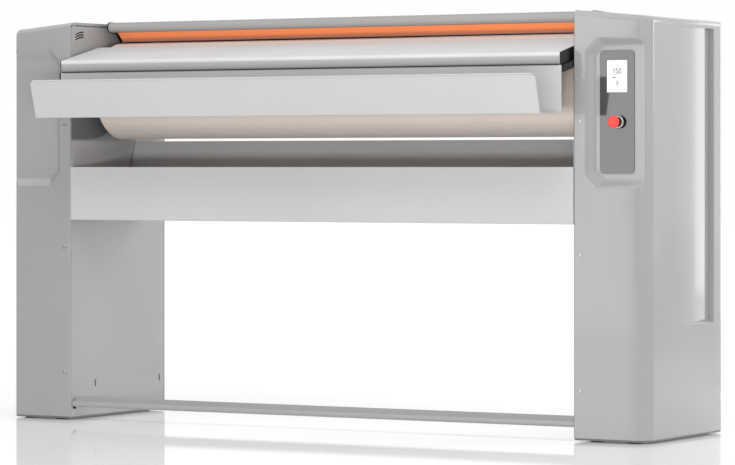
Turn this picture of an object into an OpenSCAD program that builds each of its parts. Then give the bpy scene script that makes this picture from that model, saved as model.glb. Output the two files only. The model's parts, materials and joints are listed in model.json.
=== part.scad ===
// Flatwork ironer: a padded roll turns in front of a heated chest, between two cabinets.
// X runs along the roll, Y from the front to the back, and Z up from the floor.
// Parts of a cabinet are drawn with x = 0 on its inner face and x growing outwards.

/* [Overall] */
// Clear width between the two cabinets
opening_w = 1505; // [1200:5:2100]
// Width of one cabinet
cabinet_w = 200; // [196:1:230]
// Depth of the cabinets
cabinet_d = 461; // [459:1:500]
// Height of the cabinets at their inner edge
cabinet_h = 1066; // [1056:1:1126]
// How far the feed trough reaches in front of the cabinets
front_reach = 198; // [170:1:240]

/* [Cabinet covers] */
// Wall of the moulded covers
cover_wall = 3; // [2:0.5:4]
// Fall of the cabinet top from its inner edge to its outer side
top_drop = 18.5; // [10:0.5:40]
// Radius of the top edges
top_edge_r = 16; // [8:1:18]
// Radius of the top edge at the rear
rear_top_r = 24; // [16:1:26]
// Radius of the upright inner edges
inner_edge_r = 4; // [3.5:0.5:6]
// Width of the narrow bevel where the front meets the corner
corner_bevel = 10; // [6:1:14]
// Width of the wide corner facet seen from the front
corner_in = 14; // [8:1:20]
// Depth of the wide corner facet seen from the side
corner_back = 28; // [20:1:40]
// Radius where the corner facets meet
corner_blend_r = 8; // [4:1:12]
// Radius of the upright rear corner
rear_corner_r = 29; // [20:1:34]
// Depth of the pocket pressed into the front
pocket_depth = 16.5; // [8:0.5:18]
// Distance of the pocket from the inner face
pocket_x = 35.5; // [34:0.5:45]
// Distance of the pocket's top from the cabinet top
pocket_drop = 72; // [56:1:96]
// Height of the pocket
pocket_h = 365; // [340:1:400]
// Cut across the pocket's corners
pocket_cut = 32; // [15:1:45]
// Depth of the scoop in the cabinet side
scoop_depth = 12; // [6:0.5:14]
// Place of the scoop's front edge as a share of the cabinet depth
scoop_front_share = 0.3926; // [0.25:0.01:0.5]
// Place of the scoop's deepest line as a share of the cabinet depth
scoop_deep_share = 0.8438; // [0.7:0.01:0.85]
// Width of the scoop's steep rear flank
scoop_flank_w = 4; // [3:1:16]
// Height of the scoop's lower end
scoop_z0 = 284; // [200:1:400]
// Distance of the scoop's upper end from the cabinet top
scoop_drop = 38; // [37:1:70]
// Height of the lip that hangs from the cover's inner top edge
lip_h = 8; // [6:0.5:10]

/* [Base and frame] */
// Height of the rubber feet
foot_h = 4; // [3:1:12]
// Radius of the rubber feet
foot_r = 18; // [14:1:22]
// Radius of the foot studs
foot_stud_r = 5; // [4:0.5:6]
// Length of a foot stud above its pad
foot_stud_l = 18; // [14:1:22]
// Distance of the feet from the sides of the base
foot_inset = 50; // [48:1:53]
// Thickness of the base plates
base_t = 4; // [3:0.5:5]
// Width of the square uprights
upright_w = 30; // [24:1:32]
// Wall of the uprights and of the rear beam
tube_wall = 2.5; // [2:0.5:4]
// Distance from the front to the front uprights
upright_y = 52; // [48:1:55]
// Thickness of the plates that carry the bearings
plate_t = 6; // [4:0.5:8]
// Thickness of the inner panels
panel_t = 2; // [1.5:0.5:2.5]
// Width of the inner panels' flanges
flange_w = 30; // [26:1:31]
// Width of the square rear beam
beam_w = 60; // [40:1:70]

/* [Roll] */
// Diameter of the padded roll as a share of the cabinet depth
roll_share = 0.564; // [0.53:0.002:0.58]
// Thickness of the padding
padding_t = 12; // [6:0.5:16]
// Wall of the roll tube
roll_wall = 4; // [3:0.5:6]
// Gap between the roll's ends and the inner panels
roll_gap = 25; // [24.5:0.5:30]
// Distance from the cabinets' front to the roll's axis as a share of the cabinet depth
roll_place_share = 0.4447; // [0.43:0.002:0.46]
// Distance of the roll's axis below the cabinet top
roll_drop = 182; // [180:1:190]
// Radius of the roll's stub shafts
shaft_r = 15; // [12:0.5:18]
// Thickness of the roll's end discs
disc_t = 8; // [5:1:12]

/* [Chest] */
// Thickness of the polished chest shoe
shoe_t = 6; // [4:0.5:8]
// Angle of the shoe's front edge above the rear horizontal
shoe_a1 = 84; // [78:1:85]
// Angle of the shoe's lower edge, below the rear horizontal
shoe_a0 = -50; // [-54:1:-46]
// Thickness of the chest round the roll
chest_t = 42; // [38:1:43]
// Radius of the heating elements
element_r = 5; // [4:0.5:5.5]
// Number of heating elements
element_count = 6; // [2:1:6]
// Angle between neighbouring heating elements
element_step = 20; // [18:1:21]
// Largest opening angle of the chest
chest_open = 5; // [2:0.5:5.5]
// Radius of the chest pivots
pivot_r = 10; // [8:0.5:12]
// Thickness of the chest arms
arm_t = 8; // [6:0.5:10]

/* [Hood] */
// Thickness of the hood's sheet
sheet_t = 1.5; // [1:0.25:2]
// Gap between the hood's ends and the inner panels
hood_gap = 23.5; // [21:0.5:24]
// Height of the hood's nose
nose_h = 27; // [26.5:0.5:30]
// Height of the hood above the cabinets
hood_rise = 3.5; // [2:0.5:8]
// Distance from the hood's nose to the roll's axis
nose_reach = 61; // [58:1:64]
// Distance from the rear of the cabinets to the rear of the hood
hood_back = 11; // [8:1:14]
// Height above the roll's axis where the hood ends and the rear cover starts
hood_split = 101; // [80:1:120]
// Thickness of the black end rims
rim_t = 3; // [2:0.5:4]
// Thickness of the finger guard
guard_t = 3; // [2:0.5:4]
// Length of the finger guard from its pivot to its bead
guard_l = 40; // [36:0.5:40]
// Slope of the finger guard
guard_a = 43; // [41:0.5:45]

/* [Feed board and troughs] */
// Slope of the feed board
board_a = 13.1; // [8:0.1:14]
// Height of the feed board's front lip
board_lip_h = 32.5; // [27:0.5:35]
// How far the feed board reaches in front of the cabinets
board_reach = 57; // [45:1:70]
// Height of the feed board's top, at the cabinets' front, above the roll's axis
board_rise = 89.5; // [86:0.5:94]
// Depth of the feed trough's opening
feed_w = 143; // [115:1:180]
// Height of the feed trough
feed_h = 99; // [60:1:130]
// How far the feed trough's wall leans outwards
feed_lean = 28; // [10:1:40]
// Height of the collecting trough's front panel
panel_h = 142; // [90:1:170]
// Distance of the front panel's top below the roll's axis
panel_drop = 206; // [190:1:230]
// Depth of the collecting trough's floor
floor_d = 240; // [200:1:250]

/* [Foot bar] */
// Height of the foot bar's tube
bar_z = 46; // [44:1:54]
// Radius of the foot bar's tube
bar_r = 7.5; // [6:0.5:8]
// Distance from the cabinets' front to the foot bar's tube
bar_y = 20; // [18:1:24]
// Largest angle of the foot bar
bar_press = 3.3; // [1.5:0.1:3.5]

/* [Controls] */
// Width of the control plate
control_w = 94; // [88:1:98]
// Height of the control plate
control_h = 304; // [280:1:310]
// Width of the display
display_w = 55; // [45:1:60]
// Height of the display
display_h = 79; // [60:1:85]
// Radius of the stop button's head
stop_r = 15.5; // [14:0.5:18]
// Travel of the stop button
stop_travel = 4; // [2:0.5:5]

/* [Drive and fan] */
// Radius of the roll's belt pulley
pulley_r = 88; // [80:1:90]
// Radius of the motor's belt pulley
motor_pulley_r = 43; // [38:1:44]
// Width of the belt
belt_w = 13; // [10:1:14]
// Thickness of the belt
belt_t = 4; // [3:0.5:4.5]
// Radius of the fan's housing
fan_r = 82; // [78:1:86]
// Radius of the exhaust spigot
spigot_r = 30; // [24:1:32]
// Length of the exhaust spigot behind the cabinet
spigot_l = 39.3; // [20:0.1:60]

/* [Hidden] */
$fn = 96;
arc_steps = 8;
link_steps = 16;
loop_steps = 48;
// Gap at a seat, and radial gap of a running fit
seat = 0.3;
fit = 0.05;
// How far a cut runs past the surface it opens
over = 1;

half_w = opening_w / 2;
middle_y = (cabinet_d + spigot_l - front_reach) / 2;
cover_z0 = foot_h + base_t + seat;
base_z = foot_h + base_t;
roll_r = roll_share * cabinet_d / 2;
roll_y = roll_place_share * cabinet_d;
roll_z = cabinet_h - roll_drop;
roll_at = [roll_y, roll_z];
roll_half = half_w - roll_gap;
top_a = atan(top_drop / cabinet_w);

// Layers of a side frame, counted outwards from the inner face
plate_x0 = panel_t + seat;
plate_x1 = plate_x0 + plate_t;
collar_t = 5.7;
arm_x0 = plate_x1 + collar_t;
arm_x1 = arm_x0 + arm_t;
spring_gap = 12;
spring_x = arm_x1 + spring_gap;
belt_clear = 45;
belt_x = plate_x1 + belt_clear;

panel_gap = cover_wall + seat;
panel_top = cabinet_h - lip_h - seat;
upright_gap = 13;
rear_upright_y = cabinet_d - upright_gap - upright_w;
upright_rise = 116;
upright_top = roll_z + upright_rise;
plate_y1 = rear_upright_y + upright_w;
plate_drop = 384;
plate_z0 = roll_z - plate_drop;
ear_reach = 55;
ear_y = roll_y - ear_reach;
ear_drop = 14;

screw_x = 18.5;
screw_r = 2.5;
screw_head_r = 5.5;
screw_head_h = 3;
screw_shares = [0.1183, 0.4326, 0.7418];

grey = [0.70, 0.70, 0.70];
light = [0.82, 0.82, 0.82];
dark_grey = [0.55, 0.55, 0.55];
steel = [0.75, 0.76, 0.78];
black = [0.06, 0.06, 0.06];
orange = [0.95, 0.50, 0.25];
cream = [0.84, 0.78, 0.73];
red = [0.95, 0.22, 0.20];
white = [0.96, 0.96, 0.96];
brass = [0.75, 0.62, 0.35];
wool = [0.85, 0.78, 0.45];

// Outlines

function unit(v) = v / norm(v);
function left_of(v) = [-v[1], v[0]];
function reversed(list) = [for (k = [len(list) - 1:-1:0]) list[k]];
function polar(r, a) = r * [cos(a), sin(a)];
function turn_of(a, b, c) = sign(cross(b - a, c - b));

// Corner b of the path a, b, c after its sides move left by d
function mitre(a, b, c, d) = let (m = left_of(unit(b - a)), n = left_of(unit(c - b)))
    b + d * (m + n) / (1 + m * n);

// Arc of radius r that rounds the corner b between a and c
function arc_at(a, b, c, r) = r <= 0 ? [b] : let (
    u = unit(a - b), v = unit(c - b), half = acos(u * v) / 2,
    centre = b + unit(u + v) * r / sin(half),
    first = b + u * r / tan(half) - centre, last = b + v * r / tan(half) - centre,
    sweep = atan2(cross(first, last), first * last), start = atan2(first[1], first[0]))
    [for (k = [0:arc_steps]) centre + polar(r, start + sweep * k / arc_steps)];

// Closed outline with each corner rounded
function rounded(p, radii) = let (n = len(p))
    [for (k = [0:n - 1]) each arc_at(p[(k + n - 1) % n], p[k], p[(k + 1) % n], radii[k])];

// Closed anticlockwise outline with its sides moved inwards by d
function inset(p, d) = let (n = len(p))
    [for (k = [0:n - 1]) mitre(p[(k + n - 1) % n], p[k], p[(k + 1) % n], d)];

function less(radii, d) = [for (r = radii) max(r - d, 0)];

// One side of an open path, d to its left, with bends of the given radii
function side_points(p, d) = let (last = len(p) - 1) [for (k = [0:last])
    k == 0 ? p[0] + d * left_of(unit(p[1] - p[0]))
    : k == last ? p[k] + d * left_of(unit(p[k] - p[k - 1]))
    : mitre(p[k - 1], p[k], p[k + 1], d)];
function side_of(p, radii, d) = let (q = side_points(p, d), last = len(p) - 1)
    concat([q[0]],
        [for (k = [1:1:last - 1]) each arc_at(q[k - 1], q[k], q[k + 1],
            radii[k] - d * turn_of(p[k - 1], p[k], p[k + 1]))],
        [q[last]]);

// Outline of a sheet that reaches from d0 to d1 on the left of a path
function strip(p, radii, d0, d1) = concat(side_of(p, radii, d1), reversed(side_of(p, radii, d0)));
function sheet(p, radii, t) = strip(p, radii, -t / 2, t / 2);

// Point p after the chest has opened by an angle about its pivot
function swung(p, a) = let (q = p - chest_pivot)
    chest_pivot + [q[0] * cos(a) + q[1] * sin(a), q[1] * cos(a) - q[0] * sin(a)];

// Solids

module along_x(x0, x1) {
    translate([x0, 0, 0]) rotate([90, 0, 90]) linear_extrude(x1 - x0) children();
}

module along_y(y0, y1) {
    translate([0, y1, 0]) rotate([90, 0, 0]) linear_extrude(y1 - y0) children();
}

// Round rod along X through the point at = [y, z]
module rod_x(x0, x1, r, at) {
    translate([x0, at[0], at[1]]) rotate([0, 90, 0]) cylinder(h = x1 - x0, r = r);
}

// Round rod along Y through the point at = [x, z]
module rod_y(y0, y1, r, at) {
    translate([at[0], y1, at[1]]) rotate([90, 0, 0]) cylinder(h = y1 - y0, r = r);
}

module rod_z(z0, z1, r, at) {
    translate([at[0], at[1], z0]) cylinder(h = z1 - z0, r = r);
}

// Box between two opposite corners
module block(low, high) {
    translate(low) cube(high - low);
}

// Ring segment along X about the point at, from angle a0 to a1
module segment_x(x0, x1, at, r0, r1, a0, a1) {
    translate([x0, at[0], at[1]]) rotate([90, 0, 90]) rotate([0, 0, a0]) rotate_extrude(angle = a1 - a0)
        translate([r0, 0]) square([r1 - r0, x1 - x0]);
}

// Flat link with round ends
module link(a, b, r) {
    turn = atan2(b[1] - a[1], b[0] - a[0]);
    step = 180 / link_steps;
    polygon(concat([for (k = [0:link_steps]) b + polar(r, turn - 90 + k * step)],
        [for (k = [0:link_steps]) a + polar(r, turn + 90 + k * step)]));
}

// Flat bar with square ends
module bar(a, b, r) {
    translate(a) rotate(atan2(b[1] - a[1], b[0] - a[0])) translate([0, -r]) square([norm(b - a), 2 * r]);
}

module at_side(side) {
    mirror([side < 0 ? 1 : 0, 0, 0]) translate([half_w, 0, 0]) children();
}

module both_sides() {
    for (side = [-1, 1]) at_side(side) children();
}

// The model stands with the middle of its box on the Z axis
module centred() {
    translate([0, -middle_y, 0]) children();
}

// Cabinet covers

plan_radii = [inner_edge_r, corner_blend_r, corner_blend_r, corner_blend_r, rear_corner_r, inner_edge_r];
slope = top_drop / cabinet_w;

function plan_points(x0) = [[x0, 0], [cabinet_w - corner_in - corner_bevel, 0],
    [cabinet_w - corner_in, corner_bevel], [cabinet_w, corner_bevel + corner_back],
    [cabinet_w, cabinet_d], [x0, cabinet_d]];
function face_points(x0, z0) = [[x0, z0], [cabinet_w, z0],
    [cabinet_w, cabinet_h - slope * cabinet_w], [x0, cabinet_h - slope * x0]];
function profile_points(z0) = [[0, z0], [cabinet_d, z0], [cabinet_d, 0], [0, 0]];

// Space under the roof whose edge above the corner facet from a to b is rounded
module facet_roof(a, b, d) {
    along = unit(b - a);
    tilt = atan(slope * along[0]);
    reach = 2 * cabinet_d;
    rise = slope * along[1] * cos(tilt) * reach;
    translate([a[0], a[1], cabinet_h - slope * a[0]])
        rotate([90 + tilt, 0, atan2(along[0], -along[1])])
        translate([0, 0, -reach]) linear_extrude(2 * reach)
        polygon(rounded(inset([[0, -2 * cabinet_h], [reach, -2 * cabinet_h], [reach, rise], [0, 0]], d),
            less([0, 0, 0, top_edge_r], d)));
}

// Outer form of a cabinet, moved inwards by d, that starts at x0 and z0
module cover_form(d, x0, z0) {
    plan = plan_points(x0);
    intersection() {
        facet_roof(plan[1], plan[2], d);
        facet_roof(plan[2], plan[3], d);
        linear_extrude(cabinet_h) polygon(rounded(inset(plan_points(x0), d), less(plan_radii, d)));
        along_y(0, cabinet_d) polygon(rounded(inset(face_points(x0, z0), d), less([0, 0, top_edge_r, 0], d)));
        translate([0, 0, cabinet_h]) rotate([0, top_a, 0]) along_x(-cabinet_w, 2 * cabinet_w)
            polygon(rounded(inset(profile_points(-2 * cabinet_h), d), less([0, 0, rear_top_r, top_edge_r], d)));
    }
}

// The pocket's sides slope at 45 degrees: place and direction of each
pocket_z1 = cabinet_h - pocket_drop;
pocket_z0 = pocket_z1 - pocket_h;
pocket_sides = [[[pocket_x, pocket_z0], 0], [[pocket_x, pocket_z1], 90], [[pocket_x, pocket_z0], -90],
    [[pocket_x, pocket_z1 - pocket_cut], 45], [[pocket_x, pocket_z0 + pocket_cut], -45]];

// The pocket, with every face moved into the wall by g
module pocket(g) {
    lean = g * sqrt(2);
    intersection_for (side = pocket_sides) {
        translate([side[0][0], 0, side[0][1]]) rotate([0, side[1], 0])
            translate([0, 0, -cabinet_h]) linear_extrude(2 * cabinet_h)
            polygon([[-over - lean, -over], [cabinet_h, -over], [cabinet_h, pocket_depth + g],
                [pocket_depth + g - lean, pocket_depth + g]]);
    }
}

ramp_share = 0.4;

// The scoop in the side, with every face moved into the wall by g
module scoop(g) {
    front = scoop_front_share * cabinet_d;
    deep = scoop_deep_share * cabinet_d;
    rear = deep + scoop_flank_w;
    steps = 8;
    plan = concat([[cabinet_w + over, front], [cabinet_w + over, rear], [cabinet_w, rear]],
        [for (k = [steps:-1:0]) let (t = k / steps)
            [cabinet_w - scoop_depth * (ramp_share * t + (1 - ramp_share) * t * t), front + (deep - front) * t]]);
    z1 = cabinet_h - scoop_drop;
    lean = g * sqrt(2);
    x0 = cabinet_w - 2 * scoop_depth - g;
    intersection() {
        linear_extrude(z1 + g) polygon(inset(plan, -g));
        along_y(0, cabinet_d) polygon([[x0, scoop_z0 + cabinet_w - x0 - lean],
            [cabinet_w + 2 * over, scoop_z0 - 2 * over - lean], [cabinet_w + 2 * over, cabinet_h], [x0, cabinet_h]]);
    }
}

vent_w = 90;
vent_h = 5;
vent_pitch = 14;
vent_count = 9;
vent_z = 620;
vent_x = 60;

module vents(x0, z0, count) {
    for (k = [0:count - 1]) translate([x0, cabinet_d - 2 * cover_wall, z0 + k * vent_pitch])
        cube([vent_w, 4 * cover_wall, vent_h]);
}

module cover_shell() {
    screw_hole_r = screw_r + fit;
    difference() {
        cover_form(0, 0, cover_z0);
        difference() {
            cover_form(cover_wall, -2 * cover_wall, cover_z0 - 2 * cover_wall);
            pocket(cover_wall);
            scoop(cover_wall);
        }
        pocket(0);
        scoop(0);
        vents(vent_x, vent_z, vent_count);
        for (share = screw_shares) rod_y(-over, cabinet_d + over, screw_hole_r, [screw_x, share * cabinet_h]);
    }
    difference() {
        intersection() {
            cover_form(0, 0, cover_z0);
            block([0, 0, panel_top + seat], [panel_t, cabinet_d, cabinet_h]);
        }
        for (p = stud_places) rod_x(-over, panel_t + over, stud_r + fit, p);
    }
}

module cover_left() {
    color(grey) at_side(-1) difference() {
        cover_shell();
        rod_y(cabinet_d - 2 * cover_wall, cabinet_d + over, spigot_r + seat, [fan_x, duct_z]);
    }
}

module cover_right() {
    color(grey) at_side(1) difference() {
        cover_shell();
        rod_y(0, pocket_depth + 2 * cover_wall, stop_barrel_r + seat, stop_at);
        block([display_at[0] - display_w / 2 - bezel_w - seat, 0, display_at[1] - display_h / 2 - bezel_w - seat],
            [display_at[0] + display_w / 2 + bezel_w + seat, pocket_depth + 2 * cover_wall,
                display_at[1] + display_h / 2 + bezel_w + seat]);
        rod_y(cabinet_d - 2 * cover_wall, cabinet_d + over, gland_r + fit, gland_at);
    }
}

module cover_screws() {
    color(steel) both_sides() for (share = screw_shares) {
        z = share * cabinet_h;
        rod_y(-screw_head_h, 0, screw_head_r, [screw_x, z]);
        rod_y(0, panel_gap + panel_t, screw_r, [screw_x, z]);
        rod_y(cabinet_d, cabinet_d + screw_head_h, screw_head_r, [screw_x, z]);
        rod_y(cabinet_d - panel_gap - panel_t, cabinet_d, screw_r, [screw_x, z]);
    }
}

// Base, side frames and inner panels

base_margin = 1.5;
foot_end = 36;
foot_places = [for (x = [foot_inset, cabinet_w - foot_inset], y = [foot_end, cabinet_d - foot_end]) [x, y]];
nut_r = 9;
nut_h = 6;

module feet() {
    color(black) both_sides() for (p = foot_places) {
        rod_z(0, foot_h, foot_r, p);
        rod_z(foot_h, foot_h + foot_stud_l, foot_stud_r, p);
        translate([p[0], p[1], base_z]) cylinder(h = nut_h, r = nut_r, $fn = 6);
    }
}

pivot_back = 80;
pivot_drop = 234;
chest_pivot = roll_at + [pivot_back, -pivot_drop];
lug_l = 100;
lug_at = chest_pivot - [0, lug_l];
boss_r = 12;
boss_in = 17;
boss_reach = roll_r + chest_t - boss_in;
boss_places = [roll_at + polar(boss_reach, -5), roll_at + polar(boss_reach, 35)];
boss_clear = 3;
spring_pin_r = 5;
spring_pin_l = 22;
spring_room = 33;
spring_l = 130;
spring_to = [rear_upright_y - spring_room, chest_pivot[1]];
spring_from = spring_to + [0, spring_l];
stud_r = 4;
stud_in = 30;
stud_low = 21;
stud_drop = 84;
stud_places = [[roll_y - stud_r - over, cabinet_h - stud_low],
    [cabinet_d - stud_in - 6, cabinet_h - stud_in - 6], [cabinet_d - stud_in, roll_z - stud_drop]];
shaft_hole = shaft_r + 5;
beam_back = 107;
beam_drop = 328;
beam_at = roll_at + [beam_back, -beam_drop];
spacer_r = 8;
motor_drop = 324;
motor_half_w = 83;
motor_at = [upright_y + upright_w + motor_half_w, roll_z - motor_drop];
spacer_w = 70;
spacer_h = 42;
spacer_places = [for (y = [-spacer_w, spacer_w], z = [-spacer_h, spacer_h]) motor_at + [y, z]];

// Everything that passes through a side plate or an inner panel
module side_holes(x0, x1, hole_r) {
    rod_x(x0, x1, hole_r, roll_at);
    for (p = boss_places) along_x(x0, x1) link(p, swung(p, chest_open), boss_r + boss_clear);
    for (p = stud_places) rod_x(x0, x1, stud_r + fit, p);
}

module square_tube(at, w, h) {
    difference() {
        translate(at) cube([w, w, h]);
        translate(at + [tube_wall, tube_wall, -over]) cube([w - 2 * tube_wall, w - 2 * tube_wall, h + 2 * over]);
    }
}

bar_pivot = [180, bar_z + 1];
bar_arm_x0 = 42;
bar_arm_t = 8;
bar_pin_r = 6;
bar_plate_t = 4;
bar_plate_gap = 4;

module bar_bracket() {
    x0 = bar_arm_x0 + bar_arm_t + bar_plate_gap;
    half_l = 15;
    rise = 18;
    block([x0, bar_pivot[0] - half_l, base_z], [x0 + bar_plate_t, bar_pivot[0] + half_l, bar_pivot[1] + rise]);
    rod_x(bar_arm_x0 - seat, x0, bar_pin_r, bar_pivot);
    rod_x(bar_arm_x0 + bar_arm_t + seat, x0, bar_pin_r + 2, bar_pivot);
}

module side_frame() {
    difference() {
        union() {
            translate([0, 0, foot_h]) linear_extrude(base_t)
                polygon(rounded(inset(plan_points(0), base_margin), less(plan_radii, base_margin)));
            for (y = [upright_y, rear_upright_y])
                square_tube([plate_x1, y, base_z], upright_w, upright_top - base_z);
            block([plate_x0, upright_y, plate_z0], [plate_x1, plate_y1, upright_top]);
            block([plate_x0, ear_y, upright_top], [plate_x1, plate_y1, cabinet_h - ear_drop]);
            rod_x(plate_x1, spring_x + spring_pin_l / 2, spring_pin_r, spring_from);
            bar_bracket();
        }
        side_holes(plate_x0 - over, plate_x1 + over, shaft_hole);
        rod_x(plate_x0 - over, plate_x1 + over, pivot_r + fit, chest_pivot);
        for (p = foot_places) rod_z(foot_h - over, base_z + over, foot_stud_r + fit, p);
    }
}

module frame_left() {
    color(dark_grey) at_side(-1) side_frame();
}

module frame_right() {
    color(dark_grey) at_side(1) side_frame();
}

louvre_r = 92.5;
louvre_w = 4;
louvre_at = [63, cabinet_h - 133];
louvre_pitch = 6.6;
louvre_a0 = 90;
louvre_a1 = 115;
slot_w = 6;
slot_h = 18;
slot_front = 118;
slot_back = 29;
slot_z = 93;
slot_places = [[slot_front, slot_z + 1], [cabinet_d - slot_back, slot_z - 1]];
panel_bend_r = 3;
corner_ease = 0.6;
flange_top = cabinet_h - rear_top_r - slope * flange_w - panel_gap;
bar_slot_r = bar_r + 1.5;

module inner_panel() {
    mid = panel_t / 2;
    path = [[flange_w, panel_gap + mid], [mid, panel_gap + mid], [mid, cabinet_d - panel_gap - mid],
        [flange_w, cabinet_d - panel_gap - mid]];
    bar_drop = (bar_pivot[0] - bar_y) * sin(bar_press);
    difference() {
        union() {
            translate([0, 0, base_z + seat]) linear_extrude(flange_top - base_z - seat)
                polygon(sheet(path, [0, panel_bend_r, panel_bend_r, 0], panel_t));
            along_x(0, panel_t) polygon(rounded([[panel_gap, flange_top - over], [cabinet_d - panel_gap, flange_top - over],
                [cabinet_d - panel_gap, panel_top], [panel_gap, panel_top]],
                [0, 0, rear_top_r - panel_gap + corner_ease, top_edge_r - panel_gap + corner_ease]));
        }
        side_holes(-over, panel_t + over, shaft_hole + 2);
        along_x(-over, panel_t + over) link([bar_y, bar_z], [bar_y, bar_z - bar_drop], bar_slot_r);
        block([-over, beam_at[0] - seat, beam_at[1] - seat],
            [panel_t + over, beam_at[0] + beam_w + seat, beam_at[1] + beam_w + seat]);
        for (k = [0:2]) segment_x(-over, panel_t + over, louvre_at + [0, k * louvre_pitch],
            louvre_r, louvre_r + louvre_w, louvre_a0, louvre_a1);
        for (p = slot_places) block([-over, p[0] - slot_w / 2, p[1] - slot_h / 2],
            [panel_t + over, p[0] + slot_w / 2, p[1] + slot_h / 2]);
        for (share = screw_shares) rod_y(0, cabinet_d, screw_r + fit, [screw_x, share * cabinet_h]);
    }
}

module inner_panel_left() {
    color(grey) at_side(-1) inner_panel();
}

module inner_panel_right() {
    color(grey) at_side(1) inner_panel();
}

module rear_beam() {
    end = half_w + panel_t;
    color(dark_grey) difference() {
        block([-end, beam_at[0], beam_at[1]], [end, beam_at[0] + beam_w, beam_at[1] + beam_w]);
        block([-end - over, beam_at[0] + tube_wall, beam_at[1] + tube_wall],
            [end + over, beam_at[0] + beam_w - tube_wall, beam_at[1] + beam_w - tube_wall]);
    }
}

// Troughs and feed board

hem_l = 12;
hem_w = 8;

module collecting_trough() {
    end = half_w - seat;
    mid = sheet_t / 2;
    top = roll_z - panel_drop;
    low = top - panel_h;
    back = floor_d;
    rise = 70;
    lean = 74;
    ear_h = 25;
    path = [[hem_w + mid, top - hem_l], [hem_w + mid, top - mid], [mid, top - mid], [mid, low + mid],
        [back, low + mid], [back + lean, top + rise]];
    color(light) {
        along_x(-end, end) polygon(sheet(path, [0, 1, 1, 2, 6, 0], sheet_t));
        for (side = [-1, 1]) mirror([side < 0 ? 1 : 0, 0, 0])
            block([end - sheet_t, mid, low + mid], [end, back - ear_h / 2, low + ear_h]);
    }
}

board_end_gap = 6.5;
board_cap_t = 3;
board_wall = 2;
board_thin = 6;
board_rear = 120;
board_body = 40;
board_step = 8;
board_low = roll_z + board_rise - tan(board_a) * board_reach - board_lip_h;
function board_top(y) = roll_z + board_rise + tan(board_a) * y;
function board_under(y) = board_low + tan(board_a) * (y + board_reach);
board_points = [[-board_reach, board_low], [board_body, board_under(board_body)],
    [board_body + board_step, board_top(board_body + board_step) - board_thin],
    [board_rear, board_top(board_rear) - board_thin], [board_rear, board_top(board_rear)],
    [-board_reach, board_top(-board_reach)]];
board_radii = [6, 4, 4, 2.5, 2.5, 4.5];
board_half = half_w - board_end_gap - board_cap_t;

module feed_board() {
    color(light) along_x(-board_half, board_half) difference() {
        polygon(rounded(board_points, board_radii));
        polygon(rounded(inset(board_points, board_wall), less(board_radii, board_wall)));
    }
}

module feed_board_caps() {
    color(black) for (side = [-1, 1]) mirror([side < 0 ? 1 : 0, 0, 0])
        along_x(board_half, board_half + board_cap_t) polygon(rounded(board_points, board_radii));
}

trough_mid = sheet_t / 2;
trough_back = board_reach - 3;
bracket_deep = 18;
bracket_rear = 90;
ledge_w = 32;
ledge_t = 4;

module feed_brackets() {
    front = seat - trough_back + sheet_t;
    outer = half_w - seat;
    inner = half_w - board_end_gap + seat;
    color(black) for (side = [-1, 1]) mirror([side < 0 ? 1 : 0, 0, 0]) {
        along_x(inner, outer) polygon([[front, board_under(front) - seat - bracket_deep],
            [bracket_rear, board_under(bracket_rear) - seat - bracket_deep],
            [bracket_rear, board_under(bracket_rear) - seat], [front, board_under(front) - seat]]);
        along_x(inner - ledge_w, inner) polygon([[front, board_under(front) - seat - ledge_t],
            [board_body - board_step, board_under(board_body - board_step) - seat - ledge_t],
            [board_body - board_step, board_under(board_body - board_step) - seat],
            [front, board_under(front) - seat]]);
    }
}

trough_half = half_w - board_end_gap;
trough_top = board_low - 22;
trough_low = trough_top - feed_h;
trough_cut = 10;
trough_floor_rise = 3;

module feed_trough() {
    hem_r = 2;
    top_y = hem_r - front_reach;
    path = [[top_y, trough_top - hem_r], [top_y + feed_lean, trough_low + trough_mid],
        [-trough_back + trough_mid, trough_low + trough_floor_rise + trough_mid],
        [-trough_back + trough_mid, board_under(-trough_back) - seat]];
    color(light) difference() {
        union() {
            along_x(-trough_half, trough_half) polygon(sheet(path, [0, 3, 3, 0], sheet_t));
            rod_x(-trough_half, trough_half, hem_r, path[0]);
        }
        for (side = [-1, 1]) mirror([side < 0 ? 1 : 0, 0, 0])
            along_y(-front_reach - over, feed_lean - front_reach) polygon([
                [trough_half + over, trough_top + over], [trough_half - trough_cut - over, trough_top + over],
                [trough_half + over, trough_top - trough_cut - over]]);
    }
}

// Roll

tube_r = roll_r - padding_t;
disc_x = roll_half - 7.5;
shaft_in = 20;

module ring_x(x0, x1, r0, r1, at) {
    difference() {
        rod_x(x0, x1, r1, at);
        rod_x(x0 - over, x1 + over, r0, at);
    }
}

module roll_tube() {
    end = roll_half - 2.5;
    color(steel) ring_x(-end, end, tube_r - roll_wall, tube_r, roll_at);
}

module roll_padding() {
    color(cream) ring_x(-roll_half, roll_half, tube_r + fit, roll_r, roll_at);
}

module roll_end_discs() {
    color(steel) for (side = [-1, 1]) mirror([side < 0 ? 1 : 0, 0, 0])
        ring_x(disc_x - disc_t, disc_x, shaft_r + fit, tube_r - roll_wall - fit, roll_at);
}

module stub_shaft(end) {
    rod_x(disc_x - disc_t - shaft_in, half_w + end, shaft_r, roll_at);
    rod_x(disc_x, disc_x + 2 * fit + 6, shaft_r + 6, roll_at);
}

bearing_r = 45;
bearing_flange_r = 60;
bearing_flange_t = 8;
bearing_l = 30;
pulley_rim = 2;
pulley_side = 4;
shaft_past = 5;

module roll_shaft_left() {
    color(steel) mirror([1, 0, 0]) stub_shaft(plate_x1 + bearing_l + shaft_past);
}

module roll_shaft_right() {
    color(steel) stub_shaft(belt_x + belt_w + pulley_rim + shaft_past);
}

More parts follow.
